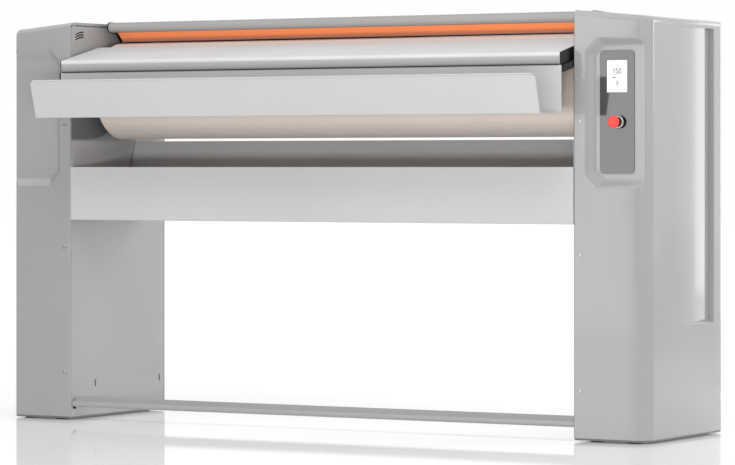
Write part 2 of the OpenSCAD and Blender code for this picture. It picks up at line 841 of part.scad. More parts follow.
module bearing() {
    bolt_r = 4;
    bolts_r = 52;
    color(dark_grey) {
        difference() {
            union() {
                rod_x(plate_x1, plate_x1 + bearing_flange_t, bearing_flange_r, roll_at);
                rod_x(plate_x1, plate_x1 + bearing_l, bearing_r, roll_at);
            }
            rod_x(plate_x1 - over, plate_x1 + bearing_l + over, shaft_r + fit, roll_at);
        }
        for (a = [45:90:315]) rod_x(plate_x1 + bearing_flange_t, plate_x1 + bearing_flange_t + bolt_r, bolt_r,
            roll_at + polar(bolts_r, a));
    }
}

module bearing_left() {
    at_side(-1) bearing();
}

module bearing_right() {
    at_side(1) bearing();
}

// Drive

module pulley(r, bore, at) {
    x0 = half_w + belt_x - pulley_rim - seat;
    x1 = half_w + belt_x + belt_w + pulley_rim + seat;
    difference() {
        union() {
            rod_x(x0, x1, r, at);
            for (x = [x0, x1 - pulley_rim]) rod_x(x, x + pulley_rim, r + pulley_side, at);
        }
        rod_x(x0 - over, x1 + over, bore, at);
    }
}

module roll_pulley() {
    hole_r = 16;
    holes_at = 52;
    color(dark_grey) difference() {
        pulley(pulley_r, shaft_r + fit, roll_at);
        for (a = [0:60:300]) rod_x(half_w, half_w + cabinet_w, hole_r, roll_at + polar(holes_at, a));
    }
}

motor_shaft_r = 9;
bracket_t = 5;
bracket_x = belt_x + belt_w + 7.7;
gearbox_l = 50;
motor_room = 17;
motor_l = cabinet_w - motor_room - bracket_x - bracket_t - gearbox_l;

module motor_pulley() {
    color(dark_grey) {
        pulley(motor_pulley_r, motor_shaft_r - over, motor_at);
        rod_x(half_w + belt_x - pulley_rim - seat, half_w + bracket_x + bracket_t + gearbox_l / 2,
            motor_shaft_r, motor_at);
    }
}

// Outline of the belt's loop, t outside the pulleys
module belt_loop(t) {
    gap = motor_at - roll_at;
    r0 = pulley_r + seat + t;
    r1 = motor_pulley_r + seat + t;
    facing = atan2(gap[1], gap[0]);
    spread = acos((r0 - r1) / norm(gap));
    polygon(concat(
        [for (k = [0:loop_steps]) motor_at + polar(r1, facing - spread + 2 * spread * k / loop_steps)],
        [for (k = [0:loop_steps]) roll_at + polar(r0, facing + spread + (360 - 2 * spread) * k / loop_steps)]));
}

module drive_belt() {
    color(black) along_x(half_w + belt_x, half_w + belt_x + belt_w) difference() {
        belt_loop(belt_t);
        belt_loop(0);
    }
}

module motor_bracket() {
    margin = 10;
    half = [spacer_w + margin, spacer_h + margin];
    color(dark_grey) at_side(1) {
        difference() {
            block([bracket_x, motor_at[0] - half[0], motor_at[1] - half[1]],
                [bracket_x + bracket_t, motor_at[0] + half[0], motor_at[1] + half[1]]);
            rod_x(bracket_x - over, bracket_x + bracket_t + over, 2 * motor_shaft_r, motor_at);
        }
        for (p = spacer_places) rod_x(plate_x1, bracket_x, spacer_r, p);
    }
}

module gear_motor() {
    x0 = bracket_x + bracket_t;
    half = [42, 46];
    motor_r = 42;
    cowl_r = 38;
    cowl_l = 16;
    color(dark_grey) at_side(1) difference() {
        union() {
            block([x0, motor_at[0] - half[0], motor_at[1] - half[1]],
                [x0 + gearbox_l, motor_at[0] + half[0], motor_at[1] + half[1]]);
            rod_x(x0 + gearbox_l, x0 + gearbox_l + motor_l - cowl_l, motor_r, motor_at);
            rod_x(x0 + gearbox_l, x0 + gearbox_l + motor_l, cowl_r, motor_at);
        }
        rod_x(x0 - over, x0 + gearbox_l / 2 + over, motor_shaft_r + fit, motor_at);
    }
}

// Chest

shoe_r0 = roll_r + seat + 0.1;
shoe_r1 = shoe_r0 + shoe_t;
chest_plate_t = 4;
chest_x1 = half_w - hood_gap - 5;
chest_x0 = chest_x1 - chest_plate_t;
shell_t = 2;
chest_r = roll_r + chest_t;
chest_a0 = -45;
chest_a1 = 76;
element_at = shoe_r1 + 2 * seat + element_r;
element_a = 70;
wool_r0 = element_at + element_r + seat;

module chest_shoe() {
    color(steel) segment_x(-chest_x1, chest_x1, roll_at, shoe_r0, shoe_r1, shoe_a0, shoe_a1);
}

module heating_elements() {
    post_l = 6;
    pin_l = 8;
    color(steel) for (k = [0:element_count - 1]) {
        p = roll_at + polar(element_at, element_a - k * element_step);
        rod_x(-chest_x1 - post_l, chest_x1 + post_l, element_r, p);
        rod_x(-chest_x1 - post_l - pin_l, chest_x1 + post_l + pin_l, element_r / 2, p);
    }
}

module chest_insulation() {
    color(wool) segment_x(seat - chest_x0, chest_x0 - seat, roll_at, wool_r0, chest_r - shell_t - seat,
        chest_a0 + 5, chest_a1 - 4);
}

module chest_frame() {
    hole_r = element_r + fit;
    color(steel) difference() {
        union() {
            for (x = [-chest_x1, chest_x0]) segment_x(x, x + chest_plate_t, roll_at, shoe_r1 + seat, chest_r,
                chest_a0, chest_a1 + 2);
            segment_x(-chest_x0, chest_x0, roll_at, chest_r - shell_t, chest_r, chest_a0, chest_a1);
        }
        for (k = [0:element_count - 1]) rod_x(-chest_x1 - over, chest_x1 + over, hole_r,
            roll_at + polar(element_at, element_a - k * element_step));
    }
}

arm_w = 20;
arm_bar_w = 16;
slot_play = 5;

module chest_arm() {
    difference() {
        union() {
            along_x(arm_x0, arm_x1) {
                for (p = [lug_at, chest_pivot, spring_to, boss_places[0], boss_places[1]])
                    translate(p) circle(arm_w);
                for (p = [lug_at, spring_to, boss_places[0]]) bar(chest_pivot, p, arm_bar_w);
                bar(boss_places[0], boss_places[1], arm_bar_w);
            }
            for (p = boss_places) rod_x(chest_x1 - half_w, arm_x0, boss_r, p);
            rod_x(arm_x1, arm_x1 + spring_pin_l, spring_pin_r, spring_to);
        }
        rod_x(arm_x0 - over, arm_x1 + over, pivot_r + fit, chest_pivot);
        along_x(arm_x0 - over, arm_x1 + over)
            link(lug_at - [0, slot_play], lug_at + [0, slot_play], rod_pin_r + seat);
    }
}

module chest_arm_left() {
    color(dark_grey) at_side(-1) chest_arm();
}

module chest_arm_right() {
    color(dark_grey) at_side(1) chest_arm();
}

module chest_pivots() {
    collar_r = pivot_r + 6;
    color(steel) both_sides() {
        rod_x(plate_x0 + seat, arm_x1 + seat, pivot_r, chest_pivot);
        rod_x(plate_x1, arm_x0 - seat, collar_r, chest_pivot);
        rod_x(arm_x1 + seat, arm_x1 + collar_t, collar_r, chest_pivot);
    }
}

// Coil of wire along Z
spring_sides = 6;
spring_rings = 8;

module coil(coil_r, wire_r, turns, length) {
    count = turns * spring_rings;
    pitch = length / turns;
    tilt = atan(pitch / (2 * PI * coil_r));
    rings = [for (k = [0:count]) let (a = 360 * k / spring_rings) [for (j = [0:spring_sides - 1])
        let (b = 360 * j / spring_sides, out = wire_r * cos(b), up = wire_r * sin(b))
        [(coil_r + out) * cos(a) + up * sin(tilt) * sin(a), (coil_r + out) * sin(a) - up * sin(tilt) * cos(a),
            length * k / count + up * cos(tilt)]]];
    walls = [for (k = [0:count - 1], j = [0:spring_sides - 1]) let (n = (j + 1) % spring_sides,
        p = k * spring_sides + j, q = k * spring_sides + n)
        each [[p, p + spring_sides, q], [q, p + spring_sides, q + spring_sides]]];
    head = count * spring_sides;
    caps = [for (j = [1:spring_sides - 2]) each [[0, j, j + 1], [head, head + j + 1, head + j]]];
    polyhedron([for (ring = rings) each ring], concat(walls, caps));
}

spring_r = 9;
spring_wire = 1.6;
spring_turns = 12;

module chest_springs() {
    low = spring_to[1] + spring_pin_r + spring_wire + seat;
    high = spring_from[1] - spring_pin_r - spring_wire - seat;
    color(steel) both_sides() translate([spring_x, spring_to[0], low])
        coil(spring_r, spring_wire, spring_turns, high - low);
}

rod_pin_r = 5;
rod_r = 6;
rod_reach = 50;
actuator_r = 16;
actuator_gap = 8;
actuator_x = arm_x1 + 10;

module chest_actuator() {
    y1 = lug_at[0] - rod_reach;
    y0 = upright_y + upright_w + actuator_gap;
    bore_l = 90;
    foot_l = 40;
    color(dark_grey) at_side(1) difference() {
        union() {
            rod_y(y0, y1, actuator_r, [actuator_x, lug_at[1]]);
            block([plate_x1, y0 + foot_l / 2, lug_at[1] - actuator_r / 2],
                [actuator_x, y0 + foot_l * 3 / 2, lug_at[1] + actuator_r / 2]);
        }
        rod_y(y1 - bore_l, y1 + over, rod_r + fit, [actuator_x, lug_at[1]]);
    }
}

module actuator_rod() {
    inside = 60;
    color(steel) at_side(1) {
        rod_y(lug_at[0] - rod_reach - inside, lug_at[0], rod_r, [actuator_x, lug_at[1]]);
        rod_x(arm_x0 - over, actuator_x, rod_pin_r, lug_at);
    }
}

module thermostat() {
    size = [12, 20, 24];
    place = roll_at + polar(chest_r - 16, 20);
    color(black) translate([chest_x1, place[0] - size[1] / 2, place[1] - size[2] / 2]) cube(size);
}

// Hood, rear cover, finger guard

hood_x = half_w - hood_gap;
hood_top = cabinet_h + hood_rise;
hood_mid = sheet_t / 2;
nose_y = roll_y - nose_reach;
lip_y = nose_y + 34;
hood_y1 = cabinet_d - hood_back - hood_mid;
rear_z = roll_z - 121;
rear_in = 49;
hood_rear_r = 40;
hood_fall = 6;
nose_mid_r = (nose_h - sheet_t) / 2 - 0.25;
hood_path = [[lip_y, hood_top + hood_mid - nose_h], [nose_y + hood_mid, hood_top + hood_mid - nose_h],
    [nose_y + hood_mid, hood_top - hood_mid], [hood_y1, hood_top - hood_mid - hood_fall],
    [hood_y1, rear_z + hood_mid], [hood_y1 - rear_in, rear_z + hood_mid]];
hood_radii = [0, nose_mid_r, nose_mid_r, hood_rear_r, 6, 0];

module top_cover() {
    path = [for (k = [0:3]) hood_path[k]];
    color(grey) along_x(-hood_x, hood_x)
        polygon(sheet(concat(path, [[hood_y1, roll_z + hood_split]]), hood_radii, sheet_t));
}

module rear_cover() {
    slots = 16;
    rows = 3;
    slot = [40, 5];
    step = [slot[0] + 20, 16];
    path = [[hood_y1, roll_z + hood_split - seat], hood_path[4], hood_path[5]];
    color(grey) difference() {
        along_x(-hood_x, hood_x) polygon(sheet(path, [0, hood_radii[4], 0], sheet_t));
        for (k = [0:slots - 1], row = [0:rows - 1])
            translate([(k - (slots - 1) / 2) * step[0] - slot[0] / 2, hood_y1 - over, roll_z + row * step[1]])
            cube([slot[0], 2 * over, slot[1]]);
    }
}

guard_pivot = [roll_y - 25, cabinet_h - 17.6];
guard_pin_r = 3;
guard_bead_r = 3.5;
guard_tip = guard_pivot + polar(guard_l, -guard_a);
end_plate_t = 4;
limb_w = 30;
rim_out = 2.25;
rim_in = 6;

module hood_end() {
    inner = hood_mid + seat;
    top = hood_top - sheet_t - seat;
    back = hood_y1 - inner;
    low = hood_path[0][1] + inner;
    limb_r = 4.2;
    nose_r = (top - low) / 2 - 0.35;
    difference() {
        union() {
            along_x(-hood_gap - end_plate_t, rim_t - hood_gap)
                polygon(rounded([[nose_y + sheet_t + seat, low], [lip_y, low], [lip_y, top - limb_w],
                    [back - limb_w, top - limb_w], [back - limb_w, rear_z + sheet_t + seat],
                    [back, rear_z + sheet_t + seat], [back, top - hood_fall], [nose_y + sheet_t + seat, top]],
                    [nose_r, 0, 0, 20, 0, hood_radii[4], hood_rear_r - inner, nose_r]));
            along_x(-hood_gap, rim_t - hood_gap) {
                polygon(strip(hood_path, hood_radii, -rim_in, rim_out));
                link(guard_pivot, guard_tip, limb_r);
            }
        }
        rod_x(-hood_gap - end_plate_t - over, rim_t - hood_gap + over, guard_pin_r + fit, guard_pivot);
        for (p = stud_places) rod_x(-hood_gap - end_plate_t - over, rim_t - hood_gap + over, stud_r + fit, p);
    }
}

module hood_end_left() {
    color(black) at_side(-1) hood_end();
}

module hood_end_right() {
    color(black) at_side(1) hood_end();
}

module hood_studs() {
    color(steel) both_sides() for (p = stud_places)
        rod_x(-hood_gap - end_plate_t, plate_x1, stud_r, p);
}

module finger_guard() {
    end = hood_x - end_plate_t - 1;
    color(orange) {
        along_x(-end, end) {
            link(guard_pivot, guard_tip, guard_t / 2);
            translate(guard_tip) circle(guard_bead_r);
        }
        rod_x(-hood_x - rim_t / 2, hood_x + rim_t / 2, guard_pin_r, guard_pivot);
    }
}

module guard_switch() {
    size = [25, 20, 14];
    x1 = -hood_gap - end_plate_t - seat;
    y0 = nose_y + nose_h / 2 + over;
    z1 = hood_top - sheet_t - seat - hood_fall * (y0 + size[1] - nose_y) / (hood_y1 - nose_y);
    color(black) at_side(1) block([x1 - size[0], y0, z1 - size[2]], [x1, y0 + size[1], z1]);
}

// Foot bar

bar_end_gap = 1.5;

module foot_bar() {
    sheet_half = half_w - bar_end_gap;
    skin = 2;
    nose_r = bar_r - 1.5;
    nose_top = bar_z + bar_r - 5.5;
    nose_low = nose_top - 2 * nose_r;
    front = bar_y - bar_r - 6;
    end = half_w + bar_arm_x0 + bar_arm_t;
    path = [[front + 3.5 * bar_r, nose_top + 1.7 * bar_r], [front, nose_top], [front, nose_low],
        [bar_y, nose_low]];
    color(grey) {
        rod_x(-end, end, bar_r, [bar_y, bar_z]);
        along_x(-sheet_half, sheet_half) polygon(sheet(path, [0, nose_r, nose_r, 0], skin));
        for (x = [-sheet_half, 0, sheet_half - skin]) along_x(x, x + skin)
            polygon([path[0], path[1] + [skin, skin], path[2] + [skin, skin], path[3] + [0, skin]]);
    }
}

module foot_bar_arms() {
    arm_r = 10;
    color(dark_grey) both_sides() along_x(bar_arm_x0, bar_arm_x0 + bar_arm_t) difference() {
        link([bar_y, bar_z], bar_pivot, arm_r);
        translate([bar_y, bar_z]) circle(bar_r + fit);
        translate(bar_pivot) circle(bar_pin_r + fit);
    }
}

bar_spring_y = 90;
bar_spring_r = 6;
bar_spring_wire = 1;
bar_spring_turns = 5;

module foot_bar_springs() {
    low = base_z + bar_spring_wire + seat;
    high = bar_z - 10 - bar_spring_wire - seat;
    color(steel) both_sides() translate([bar_arm_x0 + bar_arm_t / 2, bar_spring_y, low])
        coil(bar_spring_r, bar_spring_wire, bar_spring_turns, high - low);
}

module foot_bar_switch() {
    size = [14, 26, 20];
    plunger_r = 2;
    place = [bar_arm_x0 + bar_arm_t / 2, bar_spring_y + 36];
    color(black) at_side(1) {
        block([place[0] - size[0] / 2, place[1] - size[1] / 2, base_z],
            [place[0] + size[0] / 2, place[1] + size[1] / 2, base_z + size[2]]);
        rod_z(base_z + size[2], bar_z - 15, plunger_r, place);
    }
}

// Controls

control_t = 2;
control_at = [112.3, pocket_z0 + pocket_h / 2 + 1.5];
control_r = 11;
control_y = pocket_depth - seat;
display_at = [111.8, control_at[1] + 87.5];
bezel_w = 4;
display_t = 24;
stop_at = [control_at[0] + 10.2, control_at[1] - 25];
stop_barrel_r = 11;
stop_collar_r = 16;
stop_collar_h = 15;
stop_ring_r = 15;
stop_ring_h = 4;
stop_stem_r = 6.5;
stop_neck_r = 10;
stop_neck_l = 18;
stop_head_h = 9;
stop_skirt_h = 4;

module box_outline(w, h) {
    translate([-w / 2, -h / 2]) square([w, h]);
}

function rectangle(w, h) = [[-w / 2, -h / 2], [w / 2, -h / 2], [w / 2, h / 2], [-w / 2, h / 2]];

module control_plate() {
    color(dark_grey) at_side(1) difference() {
        along_y(control_y - control_t, control_y) translate(control_at)
            polygon(rounded(rectangle(control_w, control_h), [for (k = [0:3]) control_r]));
        along_y(control_y - control_t - over, control_y + over) translate(display_at)
            box_outline(display_w + 2 * seat, display_h + 2 * seat);
        rod_y(control_y - control_t - over, control_y + over, stop_barrel_r + fit, stop_at);
    }
}

module touch_display() {
    front = control_y - control_t + 2 * seat;
    color(white) at_side(1) {
        along_y(front, control_y + seat) translate(display_at) box_outline(display_w, display_h);
        along_y(control_y + seat, control_y + display_t) translate(display_at)
            box_outline(display_w + 2 * bezel_w, display_h + 2 * bezel_w);
    }
}

module stop_collar() {
    front = control_y - control_t;
    back = control_y + 24;
    color(black) at_side(1) difference() {
        union() {
            rod_y(front - stop_collar_h, front, stop_collar_r, stop_at);
            rod_y(front - stop_collar_h - stop_ring_h, front, stop_ring_r, stop_at);
            rod_y(front, back, stop_barrel_r, stop_at);
        }
        rod_y(front - stop_collar_h - stop_ring_h - over, back + over, stop_stem_r + fit, stop_at);
    }
}

stop_front = control_y - control_t - stop_collar_h - stop_ring_h - stop_neck_l;

module stop_stem() {
    color(black) at_side(1) {
        rod_y(stop_front - stop_head_h / 2, control_y + 24 - stop_travel - seat, stop_stem_r, stop_at);
        rod_y(stop_front + seat, stop_front + stop_neck_l - stop_travel - 1, stop_neck_r, stop_at);
    }
}

module stop_button() {
    dome = 3.5;
    lip = 2.5;
    bore_end = stop_head_h / 2 + seat;
    color(red) at_side(1) translate([stop_at[0], stop_front, stop_at[1]]) rotate([90, 0, 0]) difference() {
        rotate_extrude() polygon(concat([[0, 0], [stop_r - lip, 0]],
            [for (a = [-60:30:60]) [stop_r - lip + lip * cos(a), stop_skirt_h + lip * sin(a)]],
            [[stop_r - dome, stop_head_h - 1], [0, stop_head_h]]));
        translate([0, 0, -over]) cylinder(h = bore_end + over, r = stop_stem_r + fit);
    }
}

module stop_contact_block() {
    size = [30, 28, 40];
    y0 = control_y + 24 + seat;
    color(black) at_side(1) block([stop_at[0] - size[0] / 2, y0, stop_at[1] - size[2] / 2],
        [stop_at[0] + size[0] / 2, y0 + size[1], stop_at[1] + size[2] / 2]);
}

box_x0 = 66;
box_room = 22;
box_back = 75;
box_low = [box_x0, cabinet_d - box_back - 150];
box_size = [cabinet_w - box_room - box_x0, 150, 290];
box_wall = 1.5;
gland_r = 10;
gland_at = [120, 110];

module control_box() {
    low = [box_low[0], box_low[1], base_z];
    high = low + box_size;
    wall = [box_wall, box_wall, box_wall];
    lid_gap = box_wall + seat;
    color(light) at_side(1) {
        difference() {
            block(low, high - [lid_gap, 0, 0]);
            block(low + wall, high + [over, 0, 0] - [0, box_wall, box_wall]);
        }
        block([high[0] - box_wall, low[1], low[2]], high);
    }
}

module cable_gland() {
    flange_r = 14;
    flange_t = 4;
    nose_l = 16;
    cable_r = 5;
    color(black) at_side(1) difference() {
        union() {
            rod_y(cabinet_d - 2 * cover_wall, cabinet_d, gland_r, gland_at);
            rod_y(cabinet_d, cabinet_d + flange_t, flange_r, gland_at);
            rod_y(cabinet_d, cabinet_d + nose_l, gland_r, gland_at);
        }
        rod_y(cabinet_d - 3 * cover_wall, cabinet_d + nose_l + over, cable_r, gland_at);
    }
}

// Exhaust fan

fan_back = 211;
fan_z = 115;
fan_at = [cabinet_d - fan_back, fan_z];
fan_x = 100;
fan_half = 32;
fan_wall = 2;
duct_z = fan_at[1] + fan_r - spigot_r - seat - fan_wall;
fan_shaft_r = 5;
impeller_r = fan_r - 18;
blade_count = 16;

module fan_housing() {
    inlet_r = 36;
    duct_end = cabinet_d - 12;
    stand_w = 40;
    color(steel) at_side(-1) difference() {
        union() {
            rod_x(fan_x - fan_half, fan_x + fan_half, fan_r, fan_at);
            rod_y(fan_at[0], duct_end, spigot_r + seat + fan_wall, [fan_x, duct_z]);
            for (x = [fan_x - fan_half, fan_x + fan_half - fan_wall])
                block([x, fan_at[0] - stand_w, base_z], [x + fan_wall, fan_at[0] + stand_w, fan_at[1]]);
        }
        rod_x(fan_x - fan_half + fan_wall, fan_x + fan_half - fan_wall, fan_r - fan_wall, fan_at);
        rod_y(fan_at[0], duct_end + over, spigot_r + seat, [fan_x, duct_z]);
        rod_x(fan_x - fan_half - over, fan_x, inlet_r, fan_at);
        rod_x(fan_x, fan_x + fan_half + over, fan_shaft_r + 2, fan_at);
    }
}

module fan_impeller() {
    clear = 6;
    x0 = fan_x - fan_half + clear;
    x1 = fan_x + fan_half - clear;
    hub_r = 14;
    blade = [3, 22];
    color(dark_grey) at_side(-1) {
        rod_x(x1 - fan_wall, x1, impeller_r, fan_at);
        rod_x(x0 + clear, x1, hub_r, fan_at);
        rod_x(x0 + clear, fan_x + fan_half + 2 * clear, fan_shaft_r, fan_at);
        for (k = [0:blade_count - 1]) translate([x0, fan_at[0], fan_at[1]])
            rotate([360 * k / blade_count, 0, 0]) translate([0, -blade[0] / 2, impeller_r - blade[1]])
            cube([x1 - x0 - over, blade[0], blade[1] - over]);
    }
}

module fan_motor() {
    x0 = fan_x + fan_half;
    motor_r = 34;
    motor_gap = 24;
    length = cabinet_w - motor_gap - x0;
    color(black) at_side(-1) difference() {
        rod_x(x0, x0 + length, motor_r, fan_at);
        rod_x(x0 - over, x0 + length / 2, fan_shaft_r + fit, fan_at);
    }
}

module exhaust_spigot() {
    flange_w = 10;
    flange_t = 3;
    spigot_wall = 1.5;
    inside = 24;
    color(steel) at_side(-1) difference() {
        union() {
            rod_y(cabinet_d - inside, cabinet_d + spigot_l, spigot_r, [fan_x, duct_z]);
            rod_y(cabinet_d, cabinet_d + flange_t, spigot_r + flange_w, [fan_x, duct_z]);
        }
        rod_y(cabinet_d - inside - over, cabinet_d + spigot_l + over, spigot_r - spigot_wall, [fan_x, duct_z]);
    }
}

centred() frame_left();
centred() frame_right();
centred() inner_panel_left();
centred() inner_panel_right();
centred() cover_left();
centred() cover_right();
centred() cover_screws();
centred() feet();
centred() rear_beam();
centred() collecting_trough();
centred() feed_board();
centred() feed_board_caps();
centred() feed_brackets();
centred() feed_trough();
centred() roll_tube();
centred() roll_padding();
centred() roll_end_discs();
centred() roll_shaft_left();
centred() roll_shaft_right();
centred() bearing_left();
centred() bearing_right();
centred() roll_pulley();
centred() drive_belt();
centred() gear_motor();
centred() motor_bracket();
centred() motor_pulley();
centred() chest_shoe();
centred() heating_elements();
centred() chest_insulation();
centred() chest_frame();
centred() chest_arm_left();
centred() chest_arm_right();
centred() chest_pivots();
centred() chest_springs();
centred() chest_actuator();
centred() actuator_rod();
centred() thermostat();
centred() top_cover();
centred() rear_cover();
centred() hood_end_left();
centred() hood_end_right();
centred() hood_studs();
centred() finger_guard();
centred() guard_switch();
centred() foot_bar();
centred() foot_bar_arms();
centred() foot_bar_springs();
centred() foot_bar_switch();
centred() control_plate();
centred() touch_display();
centred() stop_collar();
centred() stop_stem();
centred() stop_button();
centred() stop_contact_block();
centred() control_box();
centred() cable_gland();
centred() fan_housing();
centred() fan_impeller();
centred() fan_motor();
centred() exhaust_spigot();
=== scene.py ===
import bmesh
import bpy
import json
import math
from mathutils import Matrix, Vector


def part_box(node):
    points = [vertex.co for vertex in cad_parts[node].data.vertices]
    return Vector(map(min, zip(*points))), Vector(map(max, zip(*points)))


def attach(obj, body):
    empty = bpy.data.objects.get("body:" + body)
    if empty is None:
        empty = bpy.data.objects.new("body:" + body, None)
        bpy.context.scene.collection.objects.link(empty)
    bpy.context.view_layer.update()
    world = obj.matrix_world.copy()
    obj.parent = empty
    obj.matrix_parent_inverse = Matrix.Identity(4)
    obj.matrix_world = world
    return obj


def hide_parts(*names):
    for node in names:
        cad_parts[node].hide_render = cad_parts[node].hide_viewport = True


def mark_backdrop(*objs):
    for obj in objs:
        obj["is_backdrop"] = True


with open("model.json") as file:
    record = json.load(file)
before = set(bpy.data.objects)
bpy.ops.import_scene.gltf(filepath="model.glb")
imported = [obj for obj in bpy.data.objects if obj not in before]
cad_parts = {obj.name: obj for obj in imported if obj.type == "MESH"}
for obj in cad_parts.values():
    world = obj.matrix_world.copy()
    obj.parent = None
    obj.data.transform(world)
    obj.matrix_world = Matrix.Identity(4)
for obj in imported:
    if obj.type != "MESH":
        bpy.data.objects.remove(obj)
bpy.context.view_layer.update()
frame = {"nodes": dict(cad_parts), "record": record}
scene = bpy.context.scene
scene.view_settings.view_transform = "Standard"
print("frame loaded:", len(frame["nodes"]), "nodes")

# The photograph was taken from the front right, a little above the roll
camera = {"place": (4.6562, -7.9377, 0.6765), "turn": 29.97, "lens": 172.7, "shift": -0.0885}
cameraData = bpy.data.cameras.new("camera")
cameraData.lens = camera["lens"]
cameraData.sensor_width = 36
cameraData.shift_y = camera["shift"]
cameraData.clip_end = 80
cameraObject = bpy.data.objects.new("camera", cameraData)
cameraObject.location = camera["place"]
cameraObject.rotation_euler = (math.radians(90), 0, math.radians(camera["turn"]))
scene.collection.objects.link(cameraObject)
scene.camera = cameraObject


# ---- small helpers for node trees ----

def place(tree, kind, values=None, **settings):
    node = tree.nodes.new(kind)
    for key, value in settings.items():
        setattr(node, key, value)
    for key, value in (values or {}).items():
        if isinstance(value, bpy.types.NodeSocket):
            tree.links.new(value, node.inputs[key])
        else:
            node.inputs[key].default_value = value
    return node


def maths(tree, operation, a, b=0.0, c=0.0, clamp=False):
    return place(tree, "ShaderNodeMath", {0: a, 1: b, 2: c}, operation=operation, use_clamp=clamp).outputs[0]


def blendColour(tree, factor, a, b, mode="MIX"):
    mix = place(tree, "ShaderNodeMix", data_type="RGBA", blend_type=mode)
    for socket, value in zip((mix.inputs[0], mix.inputs[6], mix.inputs[7]), (factor, a, b)):
        if isinstance(value, bpy.types.NodeSocket):
            tree.links.new(value, socket)
        else:
            socket.default_value = value
    return mix.outputs[2]


def newGroup(name, inputs, outputs, kind="ShaderNodeTree"):
    tree = bpy.data.node_groups.new(name, kind)
    for title, (sort, default) in inputs.items():
        socket = tree.interface.new_socket(title, in_out="INPUT", socket_type="NodeSocket" + sort)
        if default is not None:
            socket.default_value = default
    for title, sort in outputs.items():
        tree.interface.new_socket(title, in_out="OUTPUT", socket_type="NodeSocket" + sort)
    start = tree.nodes.new("NodeGroupInput")
    end = tree.nodes.new("NodeGroupOutput")
    return tree, start.outputs, end.inputs


def rgba(r, g, b):
    return (r, g, b, 1.0)


# ---- shader groups shared by the finishes ----

def makeTintDrift():
    tree, given, out = newGroup("tint drift", {
        "Colour": ("Color", rgba(0.5, 0.5, 0.5)), "Amount": ("Float", 0.03), "Scale": ("Float", 2.0)},
        {"Colour": "Color"})
    point = place(tree, "ShaderNodeTexCoord").outputs["Object"]
    cloud = place(tree, "ShaderNodeTexNoise", {"Vector": point, "Scale": given["Scale"], "Detail": 3.0})
    low = maths(tree, "SUBTRACT", 1.0, given["Amount"])
    high = maths(tree, "ADD", 1.0, given["Amount"])
    level = place(tree, "ShaderNodeMapRange", {0: cloud.outputs[0], 1: 0.3, 2: 0.7, 3: low, 4: high})
    grey = place(tree, "ShaderNodeCombineColor", {channel: level.outputs[0] for channel in range(3)})
    tree.links.new(blendColour(tree, 1.0, given["Colour"], grey.outputs[0], "MULTIPLY"), out["Colour"])
    return tree


def makeFinePeel():
    tree, given, out = newGroup("fine peel", {
        "Scale": ("Float", 600.0), "Rough Low": ("Float", 0.3), "Rough High": ("Float", 0.4)},
        {"Height": "Float", "Roughness": "Float"})
    point = place(tree, "ShaderNodeTexCoord").outputs["Object"]
    peel = place(tree, "ShaderNodeTexNoise", {"Vector": point, "Scale": given["Scale"], "Detail": 2.0})
    broad = place(tree, "ShaderNodeTexNoise",
        {"Vector": point, "Scale": 7.0, "Detail": 4.0, "Roughness": 0.6})
    rough = place(tree, "ShaderNodeMapRange",
        {0: broad.outputs[0], 1: 0.3, 2: 0.7, 3: given["Rough Low"], 4: given["Rough High"]})
    tree.links.new(peel.outputs[0], out["Height"])
    tree.links.new(rough.outputs[0], out["Roughness"])
    return tree


def makeBrushLines():
    # Stretch is how many lines to the metre run across each axis
    tree, given, out = newGroup("brush lines", {
        "Stretch": ("Vector", (6.0, 900.0, 900.0)),
        "Rough Low": ("Float", 0.25), "Rough High": ("Float", 0.4)},
        {"Line": "Float", "Roughness": "Float"})
    point = place(tree, "ShaderNodeTexCoord").outputs["Object"]
    scaled = place(tree, "ShaderNodeVectorMath", {0: point, 1: given["Stretch"]}, operation="MULTIPLY")
    line = place(tree, "ShaderNodeTexNoise",
        {"Vector": scaled.outputs[0], "Scale": 1.0, "Detail": 3.0, "Roughness": 0.7})
    rough = place(tree, "ShaderNodeMapRange",
        {0: line.outputs[0], 1: 0.3, 2: 0.7, 3: given["Rough Low"], 4: given["Rough High"]})
    tree.links.new(line.outputs[0], out["Line"])
    tree.links.new(rough.outputs[0], out["Roughness"])
    return tree


def makeEdgeRub():
    tree, given, out = newGroup("edge rub", {
        "Colour": ("Color", rgba(0.5, 0.5, 0.5)), "Bare": ("Color", rgba(0.7, 0.7, 0.7)),
        "Amount": ("Float", 0.3)}, {"Colour": "Color"})
    edge = place(tree, "ShaderNodeNewGeometry").outputs["Pointiness"]
    point = place(tree, "ShaderNodeTexCoord").outputs["Object"]
    patch = place(tree, "ShaderNodeTexNoise", {"Vector": point, "Scale": 45.0, "Detail": 4.0})
    ridge = place(tree, "ShaderNodeMapRange", {0: edge, 1: 0.53, 2: 0.60, 3: 0.0, 4: 1.0})
    broken = maths(tree, "MULTIPLY", ridge.outputs[0], patch.outputs[0])
    mask = maths(tree, "MULTIPLY", broken, given["Amount"], clamp=True)
    tree.links.new(blendColour(tree, mask, given["Colour"], given["Bare"]), out["Colour"])
    return tree


